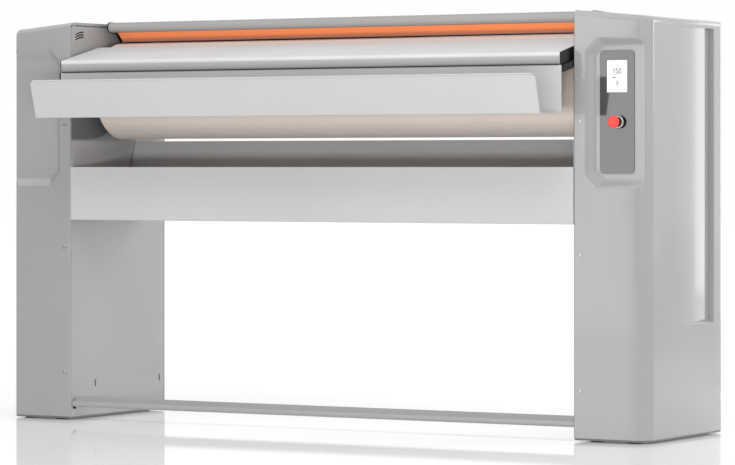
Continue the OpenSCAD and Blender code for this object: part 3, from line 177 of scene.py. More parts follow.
def makeClothWeave():
    # Threads run along the roll and round it, counted by the angle about its axis
    tree, given, out = newGroup("cloth weave", {
        "Warp": ("Color", rgba(0.7, 0.6, 0.5)), "Weft": ("Color", rgba(0.6, 0.5, 0.4)),
        "Axis Y": ("Float", 0.05385), "Axis Z": ("Float", 0.884), "Radius": ("Float", 0.13),
        "Threads": ("Float", 900.0)},
        {"Colour": "Color", "Height": "Float"})
    point = place(tree, "ShaderNodeTexCoord").outputs["Object"]
    parts = place(tree, "ShaderNodeSeparateXYZ", {0: point}).outputs
    rise = maths(tree, "SUBTRACT", parts[2], given["Axis Z"])
    reach = maths(tree, "SUBTRACT", parts[1], given["Axis Y"])
    angle = maths(tree, "ARCTAN2", rise, reach)
    around = maths(tree, "MULTIPLY", angle, given["Radius"])
    turn = maths(tree, "MULTIPLY", given["Threads"], 2 * math.pi)
    across = maths(tree, "SINE", maths(tree, "MULTIPLY", around, turn))
    along = maths(tree, "SINE", maths(tree, "MULTIPLY", parts[0], turn))
    weave = maths(tree, "MULTIPLY", across, along)
    share = maths(tree, "MULTIPLY_ADD", weave, 0.5, 0.5)
    slub = place(tree, "ShaderNodeTexNoise", {"Vector": point, "Scale": 60.0, "Detail": 5.0})
    fray = maths(tree, "MULTIPLY_ADD", slub.outputs[0], 0.5, maths(tree, "MULTIPLY", share, 0.75))
    tree.links.new(blendColour(tree, share, given["Warp"], given["Weft"]), out["Colour"])
    tree.links.new(fray, out["Height"])
    return tree


groups = {"drift": makeTintDrift(), "peel": makeFinePeel(), "brush": makeBrushLines(),
    "rub": makeEdgeRub(), "weave": makeClothWeave()}
print("shader groups made:", len(groups))


# ---- finishes ----

def useGroup(tree, name, values):
    node = tree.nodes.new("ShaderNodeGroup")
    node.node_tree = groups[name]
    for key, value in values.items():
        if isinstance(value, bpy.types.NodeSocket):
            tree.links.new(value, node.inputs[key])
        else:
            node.inputs[key].default_value = value
    return node.outputs


def startFinish(name, **shader):
    material = bpy.data.materials.new(name)
    material.use_nodes = True
    tree = material.node_tree
    surface = tree.nodes["Principled BSDF"]
    for key, value in shader.items():
        surface.inputs[key.replace("_", " ")].default_value = value
    material.diffuse_color = shader.get("Base_Color", rgba(0.5, 0.5, 0.5))
    return material, tree, surface


def bumpFrom(tree, surface, height, strength, distance):
    bump = place(tree, "ShaderNodeBump", {"Height": height, "Strength": strength, "Distance": distance})
    tree.links.new(bump.outputs[0], surface.inputs["Normal"])


def paintedFinish(name, colour, rough, drift=0.02, peel=420.0, bump=0.05, coat=0.0, rub=0.0, specular=0.5):
    material, tree, surface = startFinish(name, Base_Color=colour, Coat_Weight=coat, Coat_Roughness=0.06,
        Specular_IOR_Level=specular)
    bare = rgba(*[min(1.0, c * 1.25 + 0.03) for c in colour[:3]])
    tint = useGroup(tree, "drift", {"Colour": colour, "Amount": drift, "Scale": 2.3})
    worn = useGroup(tree, "rub", {"Colour": tint["Colour"], "Bare": bare, "Amount": rub})
    skin = useGroup(tree, "peel", {"Scale": peel, "Rough Low": rough * 0.92, "Rough High": rough * 1.08})
    tree.links.new(worn["Colour"], surface.inputs["Base Color"])
    tree.links.new(skin["Roughness"], surface.inputs["Roughness"])
    bumpFrom(tree, surface, skin["Height"], bump, 0.0004)
    return material


def metalFinish(name, colour, rough, stretch, bump=0.05, drift=0.03, metallic=1.0):
    material, tree, surface = startFinish(name, Base_Color=colour, Metallic=metallic)
    tint = useGroup(tree, "drift", {"Colour": colour, "Amount": drift, "Scale": 5.0})
    lines = useGroup(tree, "brush",
        {"Stretch": stretch, "Rough Low": rough * 0.8, "Rough High": rough * 1.25})
    tree.links.new(tint["Colour"], surface.inputs["Base Color"])
    tree.links.new(lines["Roughness"], surface.inputs["Roughness"])
    bumpFrom(tree, surface, lines["Line"], bump, 0.0003)
    return material


def clothFinish(name, warp, weft, threads, bump):
    material, tree, surface = startFinish(name, Base_Color=warp, Roughness=0.9, Sheen_Weight=0.25,
        Sheen_Roughness=0.5)
    weave = useGroup(tree, "weave", {"Warp": warp, "Weft": weft, "Threads": threads})
    tint = useGroup(tree, "drift", {"Colour": weave["Colour"], "Amount": 0.03, "Scale": 4.0})
    tree.links.new(tint["Colour"], surface.inputs["Base Color"])
    bumpFrom(tree, surface, weave["Height"], bump, 0.0004)
    return material


def woolFinish(name, colour):
    material, tree, surface = startFinish(name, Base_Color=colour, Roughness=0.95)
    tint = useGroup(tree, "drift", {"Colour": colour, "Amount": 0.15, "Scale": 90.0})
    fibre = useGroup(tree, "brush", {"Stretch": (40.0, 1200.0, 500.0), "Rough Low": 0.9, "Rough High": 1.0})
    tree.links.new(tint["Colour"], surface.inputs["Base Color"])
    bumpFrom(tree, surface, fibre["Line"], 0.6, 0.002)
    return material


def screenFinish(name, colour, glow):
    material, tree, surface = startFinish(name, Base_Color=colour, Roughness=0.12, Emission_Strength=glow)
    tint = useGroup(tree, "drift", {"Colour": colour, "Amount": 0.01, "Scale": 20.0})
    tree.links.new(tint["Colour"], surface.inputs["Base Color"])
    tree.links.new(tint["Colour"], surface.inputs["Emission Color"])
    return material


finishes = {
    "cover_grey": paintedFinish("cover_grey", rgba(0.36, 0.36, 0.36),
        0.14, coat=0.8, bump=0.02, rub=0.15, specular=0.8),
    "panel_grey": paintedFinish("panel_grey", rgba(0.39, 0.39, 0.39), 0.36, bump=0.05, rub=0.15),
    "frame_grey": paintedFinish("frame_grey", rgba(0.18, 0.185, 0.19),
        0.45, drift=0.05, bump=0.12, rub=0.4),
    "trough_grey": paintedFinish("trough_grey", rgba(0.575, 0.575, 0.575), 0.3, bump=0.04, rub=0.15),
    "hood_grey": paintedFinish("hood_grey", rgba(0.285, 0.277, 0.27), 0.3, bump=0.04, rub=0.15),
    "bar_grey": paintedFinish("bar_grey", rgba(0.37, 0.37, 0.37), 0.3, bump=0.05, rub=0.4),
    "guard_orange": paintedFinish("guard_orange", rgba(0.97, 0.31, 0.12), 0.3, bump=0.05, rub=0.3),
    "black_paint": paintedFinish("black_paint", rgba(0.012, 0.012, 0.012),
        0.4, drift=0.1, bump=0.15, rub=0.5),
    "motor_grey": paintedFinish("motor_grey", rgba(0.1, 0.11, 0.12),
        0.45, drift=0.08, peel=260.0, bump=0.3, rub=0.5),
    "motor_black": paintedFinish("motor_black", rgba(0.008, 0.008, 0.01),
        0.5, drift=0.1, peel=260.0, bump=0.3, rub=0.6),
    "board_aluminium": metalFinish("board_aluminium", rgba(0.62, 0.62, 0.625),
        0.5, (4.0, 1400.0, 1400.0), metallic=0.12),
    "pulley_aluminium": metalFinish("pulley_aluminium", rgba(0.62, 0.63, 0.64),
        0.32, (1500.0, 8.0, 8.0), bump=0.1),
    "screw_steel": metalFinish("screw_steel", rgba(0.7, 0.7, 0.71), 0.22, (300.0, 300.0, 300.0)),
    "roll_steel": metalFinish("roll_steel", rgba(0.42, 0.42, 0.43), 0.3, (900.0, 12.0, 12.0), bump=0.08),
    "polished_steel": metalFinish("polished_steel", rgba(0.62, 0.62, 0.63),
        0.1, (700.0, 5.0, 5.0), bump=0.02),
    "element_steel": metalFinish("element_steel", rgba(0.2, 0.16, 0.13),
        0.42, (30.0, 300.0, 300.0), drift=0.3),
    "chest_steel": metalFinish("chest_steel", rgba(0.42, 0.42, 0.43), 0.38, (6.0, 600.0, 600.0)),
    "duct_steel": metalFinish("duct_steel", rgba(0.5, 0.5, 0.52), 0.36, (40.0, 60.0, 60.0), drift=0.12),
    "spring_steel": metalFinish("spring_steel", rgba(0.4, 0.4, 0.41), 0.3, (700.0, 700.0, 700.0)),
    "bearing_iron": paintedFinish("bearing_iron", rgba(0.07, 0.08, 0.09),
        0.5, drift=0.1, peel=180.0, bump=0.5, rub=0.6),
    "foot_rubber": paintedFinish("foot_rubber", rgba(0.015, 0.015, 0.015),
        0.8, drift=0.1, peel=500.0, bump=0.3),
    "belt_rubber": paintedFinish("belt_rubber", rgba(0.01, 0.01, 0.01),
        0.7, drift=0.1, peel=700.0, bump=0.4),
    "padding_cloth": clothFinish("padding_cloth", rgba(0.76, 0.66, 0.60),
        rgba(0.68, 0.59, 0.53), 900.0, 0.35),
    "insulation_wool": woolFinish("insulation_wool", rgba(0.56, 0.45, 0.16)),
    "black_plastic": paintedFinish("black_plastic", rgba(0.01, 0.01, 0.01),
        0.32, drift=0.1, peel=900.0, bump=0.12, rub=0.3),
    "control_grey": paintedFinish("control_grey", rgba(0.022, 0.023, 0.023),
        0.05, drift=0.01, bump=0.0, coat=1.0, specular=0.5),
    "display_white": screenFinish("display_white", rgba(0.85, 0.87, 0.875), 0.08),
    "stop_red": paintedFinish("stop_red", rgba(0.97, 0.07, 0.06), 0.3, drift=0.03, bump=0.04, coat=0.3),
}
finishes["control_grey"].node_tree.nodes["Principled BSDF"].inputs["Coat IOR"].default_value = 2.2
# The lip's copy of the board aluminium carries painted light: its pale base colour is a painted highlight,
# darkened lower down by painted shade.
finishes["lip_aluminium_painted_light"] = metalFinish("lip_aluminium_painted_light", rgba(0.74, 0.74, 0.74), 0.4,
    (4.0, 1400.0, 1400.0), metallic=0.3)
finishes["screen_ink"] = paintedFinish("screen_ink", rgba(0.02, 0.022, 0.022), 0.5, drift=0.05, bump=0.02)
finishes["ring_painted_highlight"] = paintedFinish("ring_painted_highlight", rgba(0.75, 0.72, 0.7), 0.35, drift=0.02, bump=0.03)


def paintShadeBelow(finish, tone, low, high):
    # Painted shade: below the height high the colour turns to the tone, which it reaches at low
    tree = finishes[finish].node_tree
    surface = tree.nodes["Principled BSDF"]
    own = surface.inputs["Base Color"].links[0].from_socket
    point = place(tree, "ShaderNodeTexCoord").outputs["Object"]
    height = place(tree, "ShaderNodeSeparateXYZ", {"Vector": point}).outputs["Z"]
    mask = place(tree, "ShaderNodeMapRange", {0: height, 1: low, 2: high, 3: 0.0, 4: 1.0}).outputs[0]
    tree.links.new(blendColour(tree, mask, tone, own), surface.inputs["Base Color"])


print("finishes made:", len(finishes))


# ---- plain helpers for meshes ----

def addPiece(name, mesh, finish, body, nodes=()):
    piece = bpy.data.objects.new(name, mesh)
    scene.collection.objects.link(piece)
    if finish:
        mesh.materials.clear()
        mesh.materials.append(finishes[finish])
    if nodes:
        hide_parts(*nodes)
    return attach(piece, body)


def meshOf(holder):
    bpy.context.view_layer.update()
    graph = bpy.context.evaluated_depsgraph_get()
    made = bpy.data.meshes.new_from_object(holder.evaluated_get(graph), depsgraph=graph)
    bpy.data.objects.remove(holder)
    return made


def finishedMesh(mesh, name, bevel, angle, segments, broad=None):
    holder = bpy.data.objects.new(name + ".holder", mesh)
    scene.collection.objects.link(holder)
    if bevel:
        soften = holder.modifiers.new("soften", "BEVEL")
        soften.width = bevel
        soften.segments = segments
        soften.limit_method = "ANGLE"
        soften.angle_limit = math.radians(angle)
        if broad:
            weighPocket(mesh, angle, bevel / broad)
            soften.width = broad
            soften.limit_method = "WEIGHT"
            soften.segments = pocket["segments"]
        soften.harden_normals = True
        soften.use_clamp_overlap = not broad
    made = meshOf(holder)
    made.name = name
    return made


middleY = 0.15115
pocket = {"broad": 0.005, "segments": 4, "inner": 0.78, "deep": 0.0165, "near": 0.001, "low": 0.60,
    "high": 1.01, "rim": 0.02, "slope": 0.7071, "slopeError": 0.005}


def weighPocket(mesh, angle, small):
    # The pocket's sloping sides are rounded widest, the front's other edges by a small share of that.
    # Overlap isn't clamped, so edges further back stay sharp: rounded, they tear the back wall.
    work = bmesh.new()
    work.from_mesh(mesh)
    layers = work.edges.layers.float
    weights = layers.get("bevel_weight_edge") or layers.new("bevel_weight_edge")
    deepest = pocket["deep"] + pocket["near"] - middleY
    for edge in work.edges:
        if len(edge.link_faces) != 2 or edge.calc_face_angle(0.0) < math.radians(angle):
            continue
        if any(v.co.y > pocket["rim"] - middleY for v in edge.verts):
            edge.smooth = False
            continue
        edge[weights] = small
        inside = all(abs(v.co.x) > pocket["inner"] and v.co.y < deepest
            and pocket["low"] < v.co.z < pocket["high"] for v in edge.verts)
        sloping = any(abs(f.normal.y + pocket["slope"]) < pocket["slopeError"] for f in edge.link_faces)
        if inside and sloping:
            edge[weights] = 1.0
    work.to_mesh(mesh)
    work.free()


def mergedCopy(node):
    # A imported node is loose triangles, so its copy is merged and its flat faces are joined
    mesh = frame["nodes"][node].data.copy()
    work = bmesh.new()
    work.from_mesh(mesh)
    bmesh.ops.remove_doubles(work, verts=work.verts, dist=0.00002)
    bmesh.ops.dissolve_limit(work, angle_limit=math.radians(0.4), verts=work.verts, edges=work.edges)
    bmesh.ops.recalc_face_normals(work, faces=work.faces)
    for face in work.faces:
        face.smooth = True
    work.to_mesh(mesh)
    work.free()
    for name in ("custom_normal", "sharp_edge", "sharp_face"):
        if name in mesh.attributes:
            mesh.attributes.remove(mesh.attributes[name])
    return mesh


bodyOf = {node: body for body, nodes in frame["record"]["behaviour"]["bodies"].items() for node in nodes}

# Each node's finish, the rounding of its edges in millimetres, and the angle from which it starts
dressed = {
    "cover_left": ("cover_grey", 1.2, 24), "cover_right": ("cover_grey", 1.2, 24),
    "inner_panel_left": ("panel_grey", 0.5, 30), "inner_panel_right": ("panel_grey", 0.5, 30),
    "frame_left": ("frame_grey", 0.5, 30), "frame_right": ("frame_grey", 0.5, 30),
    "feet": ("foot_rubber", 0.8, 30), "rear_beam": ("frame_grey", 1.0, 30),
    "collecting_trough": ("trough_grey", 0.4, 30), "feed_board": ("board_aluminium", 0.4, 30),
    "feed_board_caps": ("black_plastic", 0.6, 30), "feed_brackets": ("black_paint", 0.8, 30),
    "feed_trough": ("trough_grey", 0.4, 30), "roll_tube": ("roll_steel", 0.5, 30),
    "roll_end_discs": ("roll_steel", 0.8, 30), "roll_shaft_left": ("roll_steel", 0.8, 30),
    "roll_shaft_right": ("roll_steel", 0.8, 30), "bearing_left": ("bearing_iron", 1.2, 30),
    "bearing_right": ("bearing_iron", 1.2, 30), "roll_pulley": ("pulley_aluminium", 0.6, 30),
    "drive_belt": ("belt_rubber", 0.4, 30), "gear_motor": ("motor_grey", 1.5, 30),
    "motor_bracket": ("frame_grey", 0.8, 30), "motor_pulley": ("pulley_aluminium", 0.6, 30),
    "chest_shoe": ("polished_steel", 0.8, 30), "heating_elements": ("element_steel", 0.5, 30),
    "chest_insulation": ("insulation_wool", 1.5, 30), "chest_frame": ("chest_steel", 0.4, 30),
    "chest_arm_left": ("frame_grey", 0.8, 30), "chest_arm_right": ("frame_grey", 0.8, 30),
    "chest_pivots": ("roll_steel", 0.8, 30), "chest_actuator": ("motor_grey", 0.8, 30),
    "actuator_rod": ("roll_steel", 0.5, 30), "thermostat": ("black_plastic", 1.0, 30),
    "top_cover": ("hood_grey", 0.5, 30), "rear_cover": ("hood_grey", 0.4, 30),
    "hood_end_left": ("black_plastic", 0.5, 30), "hood_end_right": ("black_plastic", 0.5, 30),
    "hood_studs": ("screw_steel", 0.5, 30), "finger_guard": ("guard_orange", 0.3, 30),
    "guard_switch": ("black_plastic", 1.0, 30), "foot_bar": ("bar_grey", 0.3, 30),
    "foot_bar_arms": ("frame_grey", 0.6, 30), "foot_bar_switch": ("black_plastic", 0.8, 30),
    "control_plate": ("control_grey", 0.4, 30), "touch_display": ("display_white", 0.3, 30),
    "stop_stem": ("black_plastic", 0.3, 30),
    "stop_button": ("stop_red", 1.2, 30), "stop_contact_block": ("black_plastic", 0.8, 30),
    "control_box": ("trough_grey", 0.8, 30), "cable_gland": ("black_plastic", 0.6, 30),
    "fan_housing": ("duct_steel", 0.5, 30), "fan_impeller": ("pulley_aluminium", 0.3, 30),
    "fan_motor": ("motor_black", 1.2, 30), "exhaust_spigot": ("duct_steel", 0.4, 30),
}
for node, (finish, bevel, angle) in dressed.items():
    broad = pocket["broad"] if finish == "cover_grey" else None
    mesh = finishedMesh(mergedCopy(node), node + ".dressed", bevel / 1000, angle, 2, broad)
    addPiece(node + "_piece", mesh, finish, bodyOf[node], [node])

# Painted light and shade: the board's lip gets its own copy of the aluminium, with a painted highlight along
# its top that fades to painted shade towards its lower edge and underside, and the guard darkens towards its
# lower edge by painted shade
lip = {"flat": -0.985, "depth": 0.002, "under": -0.12, "back": 0.008, "paintedHighlightLow": 0.66, "paintedHighlightHigh": 0.86,
    "paintedShadeHigh": 0.6, "middle": rgba(0.45, 0.45, 0.452), "dark": rgba(0.31, 0.31, 0.312)}
guard = {"paintedShadeHigh": 0.42, "dark": rgba(0.2, 0.125, 0.11)}
board = bpy.data.objects["feed_board_piece"].data
board.materials.append(finishes["lip_aluminium_painted_light"])
boardFront = min(v.co.y for v in board.vertices)
lipHeights = []
# The lip's front and underside faces take that copy with the painted highlight and painted shade.
for face in board.polygons:
    if face.normal.y < lip["flat"] and face.center.y < boardFront + lip["depth"]:
        face.material_index = 1
        lipHeights += [board.vertices[k].co.z for k in face.vertices]
    elif face.normal.z < lip["under"] and face.center.y < boardFront + lip["back"]:
        face.material_index = 1
lipLow, lipHigh = min(lipHeights), max(lipHeights)
lipTall = lipHigh - lipLow
paintShadeBelow("lip_aluminium_painted_light", lip["middle"], lipLow + lip["paintedHighlightLow"] * lipTall,
    lipLow + lip["paintedHighlightHigh"] * lipTall)
paintShadeBelow("lip_aluminium_painted_light", lip["dark"], lipLow, lipLow + lip["paintedShadeHigh"] * lipTall)
# Painted shade: the orange guard turns to a dark brown-grey towards its lower edge, standing for the shade
# and dark reflection under its lower half.
guardHeights = [v.co.z for v in bpy.data.objects["finger_guard_piece"].data.vertices]
guardLow, guardHigh = min(guardHeights), max(guardHeights)
paintShadeBelow("guard_orange", guard["dark"], guardLow, guardLow + guard["paintedShadeHigh"] * (guardHigh - guardLow))

for node in ("chest_springs", "foot_bar_springs"):
    carried = frame["nodes"][node]
    carried.data.materials.clear()
    carried.data.materials.append(finishes["spring_steel"])
print("dressed pieces:", len(dressed))


# ---- screws: heads with a hexagon socket, one tree for every row ----

def newGeometryGroup(name, inputs):
    tree = bpy.data.node_groups.new(name, "GeometryNodeTree")
    tree.interface.new_socket("Geometry", in_out="INPUT", socket_type="NodeSocketGeometry")
    for title, (sort, default) in inputs.items():
        socket = tree.interface.new_socket(title, in_out="INPUT", socket_type="NodeSocket" + sort)
        if default is not None:
            socket.default_value = default
    tree.interface.new_socket("Geometry", in_out="OUTPUT", socket_type="NodeSocketGeometry")
    start = tree.nodes.new("NodeGroupInput")
    end = tree.nodes.new("NodeGroupOutput")
    return tree, start.outputs, end.inputs[0]


def closeTree(tree, geometry, finish, end):
    real = place(tree, "GeometryNodeRealizeInstances", {0: geometry})
    coloured = place(tree, "GeometryNodeSetMaterial", {0: real.outputs[0], "Material": finish})
    tree.links.new(coloured.outputs[0], end)


def grow(name, tree, values, finish, body, points=None, turns=None, nodes=()):
    mesh = bpy.data.meshes.new(name + ".points")
    mesh.from_pydata(points or [(0, 0, 0)], [], [])
    if turns:
        attribute = mesh.attributes.new("turn", "FLOAT_VECTOR", "POINT")
        attribute.data.foreach_set("vector", [n for turn in turns for n in turn])
    holder = bpy.data.objects.new(name + ".holder", mesh)
    scene.collection.objects.link(holder)
    modifier = holder.modifiers.new("grow", "NODES")
    modifier.node_group = tree
    sockets = {item.name: item.identifier for item in tree.interface.items_tree if item.in_out == "INPUT"}
    for key, value in values.items():
        modifier[sockets[key]] = value
    modifier[sockets["Finish"]] = finishes[finish]
    made = meshOf(holder)
    made.name = name
    made.set_sharp_from_angle(angle=math.radians(35))
    return addPiece(name, made, None, body, nodes)


def makeScrewTree():
    tree, given, end = newGeometryGroup("socket screws", {
        "Head Radius": ("Float", 0.0055), "Head Height": ("Float", 0.003), "Socket Radius": ("Float", 0.0026),
        "Socket Depth": ("Float", 0.0016), "Finish": ("Material", None)})
    height = given["Head Height"]
    lower = place(tree, "GeometryNodeMeshCylinder",
        {"Vertices": 32, "Radius": given["Head Radius"], "Depth": maths(tree, "MULTIPLY", height, 0.55)})
    lowPlace = place(tree, "ShaderNodeCombineXYZ", {2: maths(tree, "MULTIPLY", height, 0.275)})
    lowMoved = place(tree, "GeometryNodeTransform", {0: lower.outputs[0], "Translation": lowPlace.outputs[0]})
    narrow = maths(tree, "MULTIPLY", given["Head Radius"], 0.74)
    upper = place(tree, "GeometryNodeMeshCone", {"Vertices": 32, "Radius Bottom": given["Head Radius"],
        "Radius Top": narrow, "Depth": maths(tree, "MULTIPLY", height, 0.45)})
    upPlace = place(tree, "ShaderNodeCombineXYZ", {2: maths(tree, "MULTIPLY", height, 0.55)})
    upMoved = place(tree, "GeometryNodeTransform", {0: upper.outputs[0], "Translation": upPlace.outputs[0]})
    head = place(tree, "GeometryNodeMeshBoolean", operation="UNION")
    tree.links.new(lowMoved.outputs[0], head.inputs[1])
    tree.links.new(upMoved.outputs[0], head.inputs[1])
    deep = maths(tree, "MULTIPLY", given["Socket Depth"], 2.0)
    hexagon = place(tree, "GeometryNodeMeshCylinder",
        {"Vertices": 6, "Radius": given["Socket Radius"], "Depth": deep})
    hexPlace = place(tree, "ShaderNodeCombineXYZ", {2: height})
    hexMoved = place(tree, "GeometryNodeTransform",
        {0: hexagon.outputs[0], "Translation": hexPlace.outputs[0]})
    cut = place(tree, "GeometryNodeMeshBoolean", {0: head.outputs[0]}, operation="DIFFERENCE")
    tree.links.new(hexMoved.outputs[0], cut.inputs[1])
    turn = place(tree, "GeometryNodeInputNamedAttribute", {"Name": "turn"}, data_type="FLOAT_VECTOR")
    rows = place(tree, "GeometryNodeInstanceOnPoints",
        {"Points": given["Geometry"], "Instance": cut.outputs[0], "Rotation": turn.outputs[0]})
    closeTree(tree, rows.outputs[0], given["Finish"], end)
    return tree


screwTree = makeScrewTree()
quarter = math.pi / 2
innerX = 0.7525
coverScrews = {"inset": 0.0185, "heights": (0.1261, 0.4611, 0.7908), "front": 0.0, "back": 0.461,
    "headRadius": 0.0055, "headHeight": 0.003, "socketRadius": 0.0026, "socketDepth": 0.0016}
screwPoints = []
screwTurns = []
for side in (-1, 1):
    for height in coverScrews["heights"]:
        for y, turn in ((coverScrews["front"], quarter), (coverScrews["back"], -quarter)):
            screwPoints.append((side * (innerX + coverScrews["inset"]), y - middleY, height))
            screwTurns.append((turn, 0, 0))
grow("cover_screw_heads", screwTree, {"Head Radius": coverScrews["headRadius"],
    "Head Height": coverScrews["headHeight"], "Socket Radius": coverScrews["socketRadius"],
    "Socket Depth": coverScrews["socketDepth"]},
    "screw_steel", "machine", screwPoints, screwTurns, ["cover_screws"])
print("screws made:", len(screwPoints))


# ---- roll padding: cloth wound on the tube, swept from a soft-edged section ----

padding = {"inner": 0.11805, "outer": 0.1299, "length": 1.455, "edge": 0.005,
    "axisY": 0.05385, "axisZ": 0.884}


def makePaddingTree():
    tree, given, end = newGeometryGroup("wound padding", {
        "Inner Radius": ("Float", 0.11805), "Outer Radius": ("Float", 0.13), "Length": ("Float", 1.455),
        "Edge Radius": ("Float", 0.005), "Finish": ("Material", None)})
    thick = maths(tree, "SUBTRACT", given["Outer Radius"], given["Inner Radius"])
    section = place(tree, "GeometryNodeCurvePrimitiveQuadrilateral",
        {"Width": thick, "Height": given["Length"]})
    eased = place(tree, "GeometryNodeFilletCurve", {0: section.outputs[0], "Count": 6,
        "Radius": given["Edge Radius"], "Limit Radius": True}, mode="POLY")
    middle = maths(tree, "MULTIPLY", maths(tree, "ADD", given["Outer Radius"], given["Inner Radius"]), 0.5)
    ring = place(tree, "GeometryNodeCurvePrimitiveCircle", {"Resolution": 128, "Radius": middle})
    tube = place(tree, "GeometryNodeCurveToMesh",
        {"Curve": ring.outputs[0], "Profile Curve": eased.outputs[0]})
    turned = place(tree, "GeometryNodeTransform", {0: tube.outputs[0], "Rotation": (0, quarter, 0),
        "Translation": (0, padding["axisY"], padding["axisZ"])})
    closeTree(tree, turned.outputs[0], given["Finish"], end)
    return tree


paddingTree = makePaddingTree()
pad = grow("ironing_cloth", paddingTree, {"Inner Radius": padding["inner"],
    "Outer Radius": padding["outer"], "Length": padding["length"], "Edge Radius": padding["edge"]},
    "padding_cloth", "roll", nodes=["roll_padding"])
print("padding:", len(pad.data.vertices), "points", [round(v, 4) for v in pad.dimensions])


# ---- emergency stop: collar, a pale ring painted as the highlight on the collar's rim, and the face under the head ----

def lathed(name, profile, centre, steps=64):
    # Profile is a closed ring of (radius, place along y), turned about the line through the centre
    work = bmesh.new()
    rings = []
    for k in range(steps):
        turn = 2 * math.pi * k / steps
        rings.append([work.verts.new((centre[0] + r * math.cos(turn), centre[1] + y,
            centre[2] + r * math.sin(turn))) for r, y in profile])
    for k in range(steps):
        here, there = rings[k], rings[(k + 1) % steps]
        for j in range(len(profile)):
            work.faces.new((here[j - 1], there[j - 1], there[j], here[j]))
    bmesh.ops.recalc_face_normals(work, faces=work.faces)
    for face in work.faces:
        face.smooth = True
    mesh = bpy.data.meshes.new(name)
    work.to_mesh(mesh)
    work.free()
    return mesh


stop = {"collarRadius": 0.016, "collarHeight": 0.015, "ringOuter": 0.015, "ringInner": 0.0122,
    "ringHeight": 0.004, "ringSeat": 0.0001, "bore": 0.00655, "boreRim": 0.002, "barrel": 0.011, "edge": 0.8}
collarLow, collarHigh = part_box("stop_collar")
stopCentre = ((collarLow[0] + collarHigh[0]) / 2, collarLow[1] + stop["ringHeight"],
    (collarLow[2] + collarHigh[2]) / 2)
barrelEnd = collarHigh[1] - stopCentre[1]
collarRing = [(stop["bore"], 0.0), (stop["bore"], -stop["boreRim"]), (stop["ringInner"], -stop["boreRim"]),
    (stop["ringInner"], 0.0), (stop["collarRadius"], 0.0), (stop["collarRadius"], stop["collarHeight"]),
    (stop["barrel"], stop["collarHeight"]), (stop["barrel"], barrelEnd), (stop["bore"], barrelEnd)]
# The pale ring is a painted highlight: its light colour stands for light caught on the collar's rim.
rimHighlightRing = [(stop["ringInner"], -stop["ringHeight"]), (stop["ringOuter"], -stop["ringHeight"]),
    (stop["ringOuter"], -stop["ringSeat"]), (stop["ringInner"], -stop["ringSeat"])]
for name, ring, finish, nodes in (("stop_collar_piece", collarRing, "black_plastic", ["stop_collar"]),
        ("stop_rim_highlight", rimHighlightRing, "ring_painted_highlight", [])):
    mesh = finishedMesh(lathed(name, ring, stopCentre), name, stop["edge"] / 1000, 40, 2)
    addPiece(name, mesh, finish, "machine", nodes)
# The plate shows no mirror image of the stop
for name in ("stop_collar_piece", "stop_rim_highlight", "stop_button_piece", "stop_stem_piece"):
    bpy.data.objects[name].visible_glossy = False
print("emergency stop at", [round(v, 4) for v in stopCentre])


# ---- plates beside the roll and at the ends of the collecting trough ----

# Places are (y from the cabinets' front, z)
sides = {"panelX": 0.7525, "thick": 0.0015, "gap": 0.0004, "edge": 0.0003, "troughTop": 0.7473,
    "troughLow": 0.6770, "troughBack": 0.309, "troughLowBack": 0.276, "guardLow": 0.7520,
    "guardStraight": 0.088, "guardStep": 0.0005, "guardRise": ((0.1195, 0.7543), (0.149, 0.7612),
    (0.1729, 0.7724), (0.189, 0.786), (0.2, 0.804)), "guardBack": 0.2, "guardTop": 0.93, "front": 0.004}
# A black sheet sunk behind each panel's louvre slots is painted shade: it makes the slots read dark where the
# cavity behind is only shaded.
louvreShadePlate = {"low": (0.016, 1.010), "high": (0.072, 1.050), "thick": 0.001, "sunk": 0.0035}
# A thin black strip on each inner panel draws a dark line along it near its top.
darkLine = {"low": (0.020, 1.0561), "high": (0.430, 1.0577), "thick": 0.0004}


def sideSheet(name, outline, finish, side, thick, offset):
    # The sheet lies against the inner panel
    x0 = side * (sides["panelX"] - sides["gap"] - offset)
    x1 = x0 - side * thick
    work = bmesh.new()
    near = [work.verts.new((x0, y - middleY, z)) for y, z in outline]
    far = [work.verts.new((x1, y - middleY, z)) for y, z in outline]
    work.faces.new(near)
    work.faces.new(far)
    for k in range(len(outline)):
        work.faces.new((near[k - 1], near[k], far[k], far[k - 1]))
    bmesh.ops.recalc_face_normals(work, faces=work.faces)
    mesh = bpy.data.meshes.new(name)
    work.to_mesh(mesh)
    work.free()
    return addPiece(name, finishedMesh(mesh, name, sides["edge"], 30, 2), finish, "machine")


guardOutline = [(sides["front"], sides["guardLow"]),
    (sides["guardStraight"], sides["guardLow"] + sides["guardStep"])]
guardOutline += list(sides["guardRise"])
guardOutline += [(sides["guardBack"], sides["guardTop"]), (sides["front"], sides["guardTop"])]
endOutline = [(sides["front"], sides["troughLow"]), (sides["troughLowBack"], sides["troughLow"]),
    (sides["troughBack"], sides["troughTop"]), (sides["front"], sides["troughTop"])]


def oblong(low, high):
    return [low, (high[0], low[1]), high, (low[0], high[1])]


for label, side in (("left", -1), ("right", 1)):
    sideSheet("roll_side_plate_" + label, guardOutline, "frame_grey", side, sides["thick"], 0.0)
    sideSheet("trough_end_plate_" + label, endOutline, "trough_grey", side, sides["thick"], 0.0)
    # Painted shade: black sheet behind the louvre slots.
    sideSheet("louvre_shade_sheet_" + label, oblong(louvreShadePlate["low"], louvreShadePlate["high"]), "foot_rubber", side,
        louvreShadePlate["thick"], -louvreShadePlate["sunk"])
    # Thin black strip drawing a dark line on the inner panel.
    sideSheet("panel_dark_line_" + label, oblong(darkLine["low"], darkLine["high"]), "foot_rubber", side,
        darkLine["thick"], 0.0)

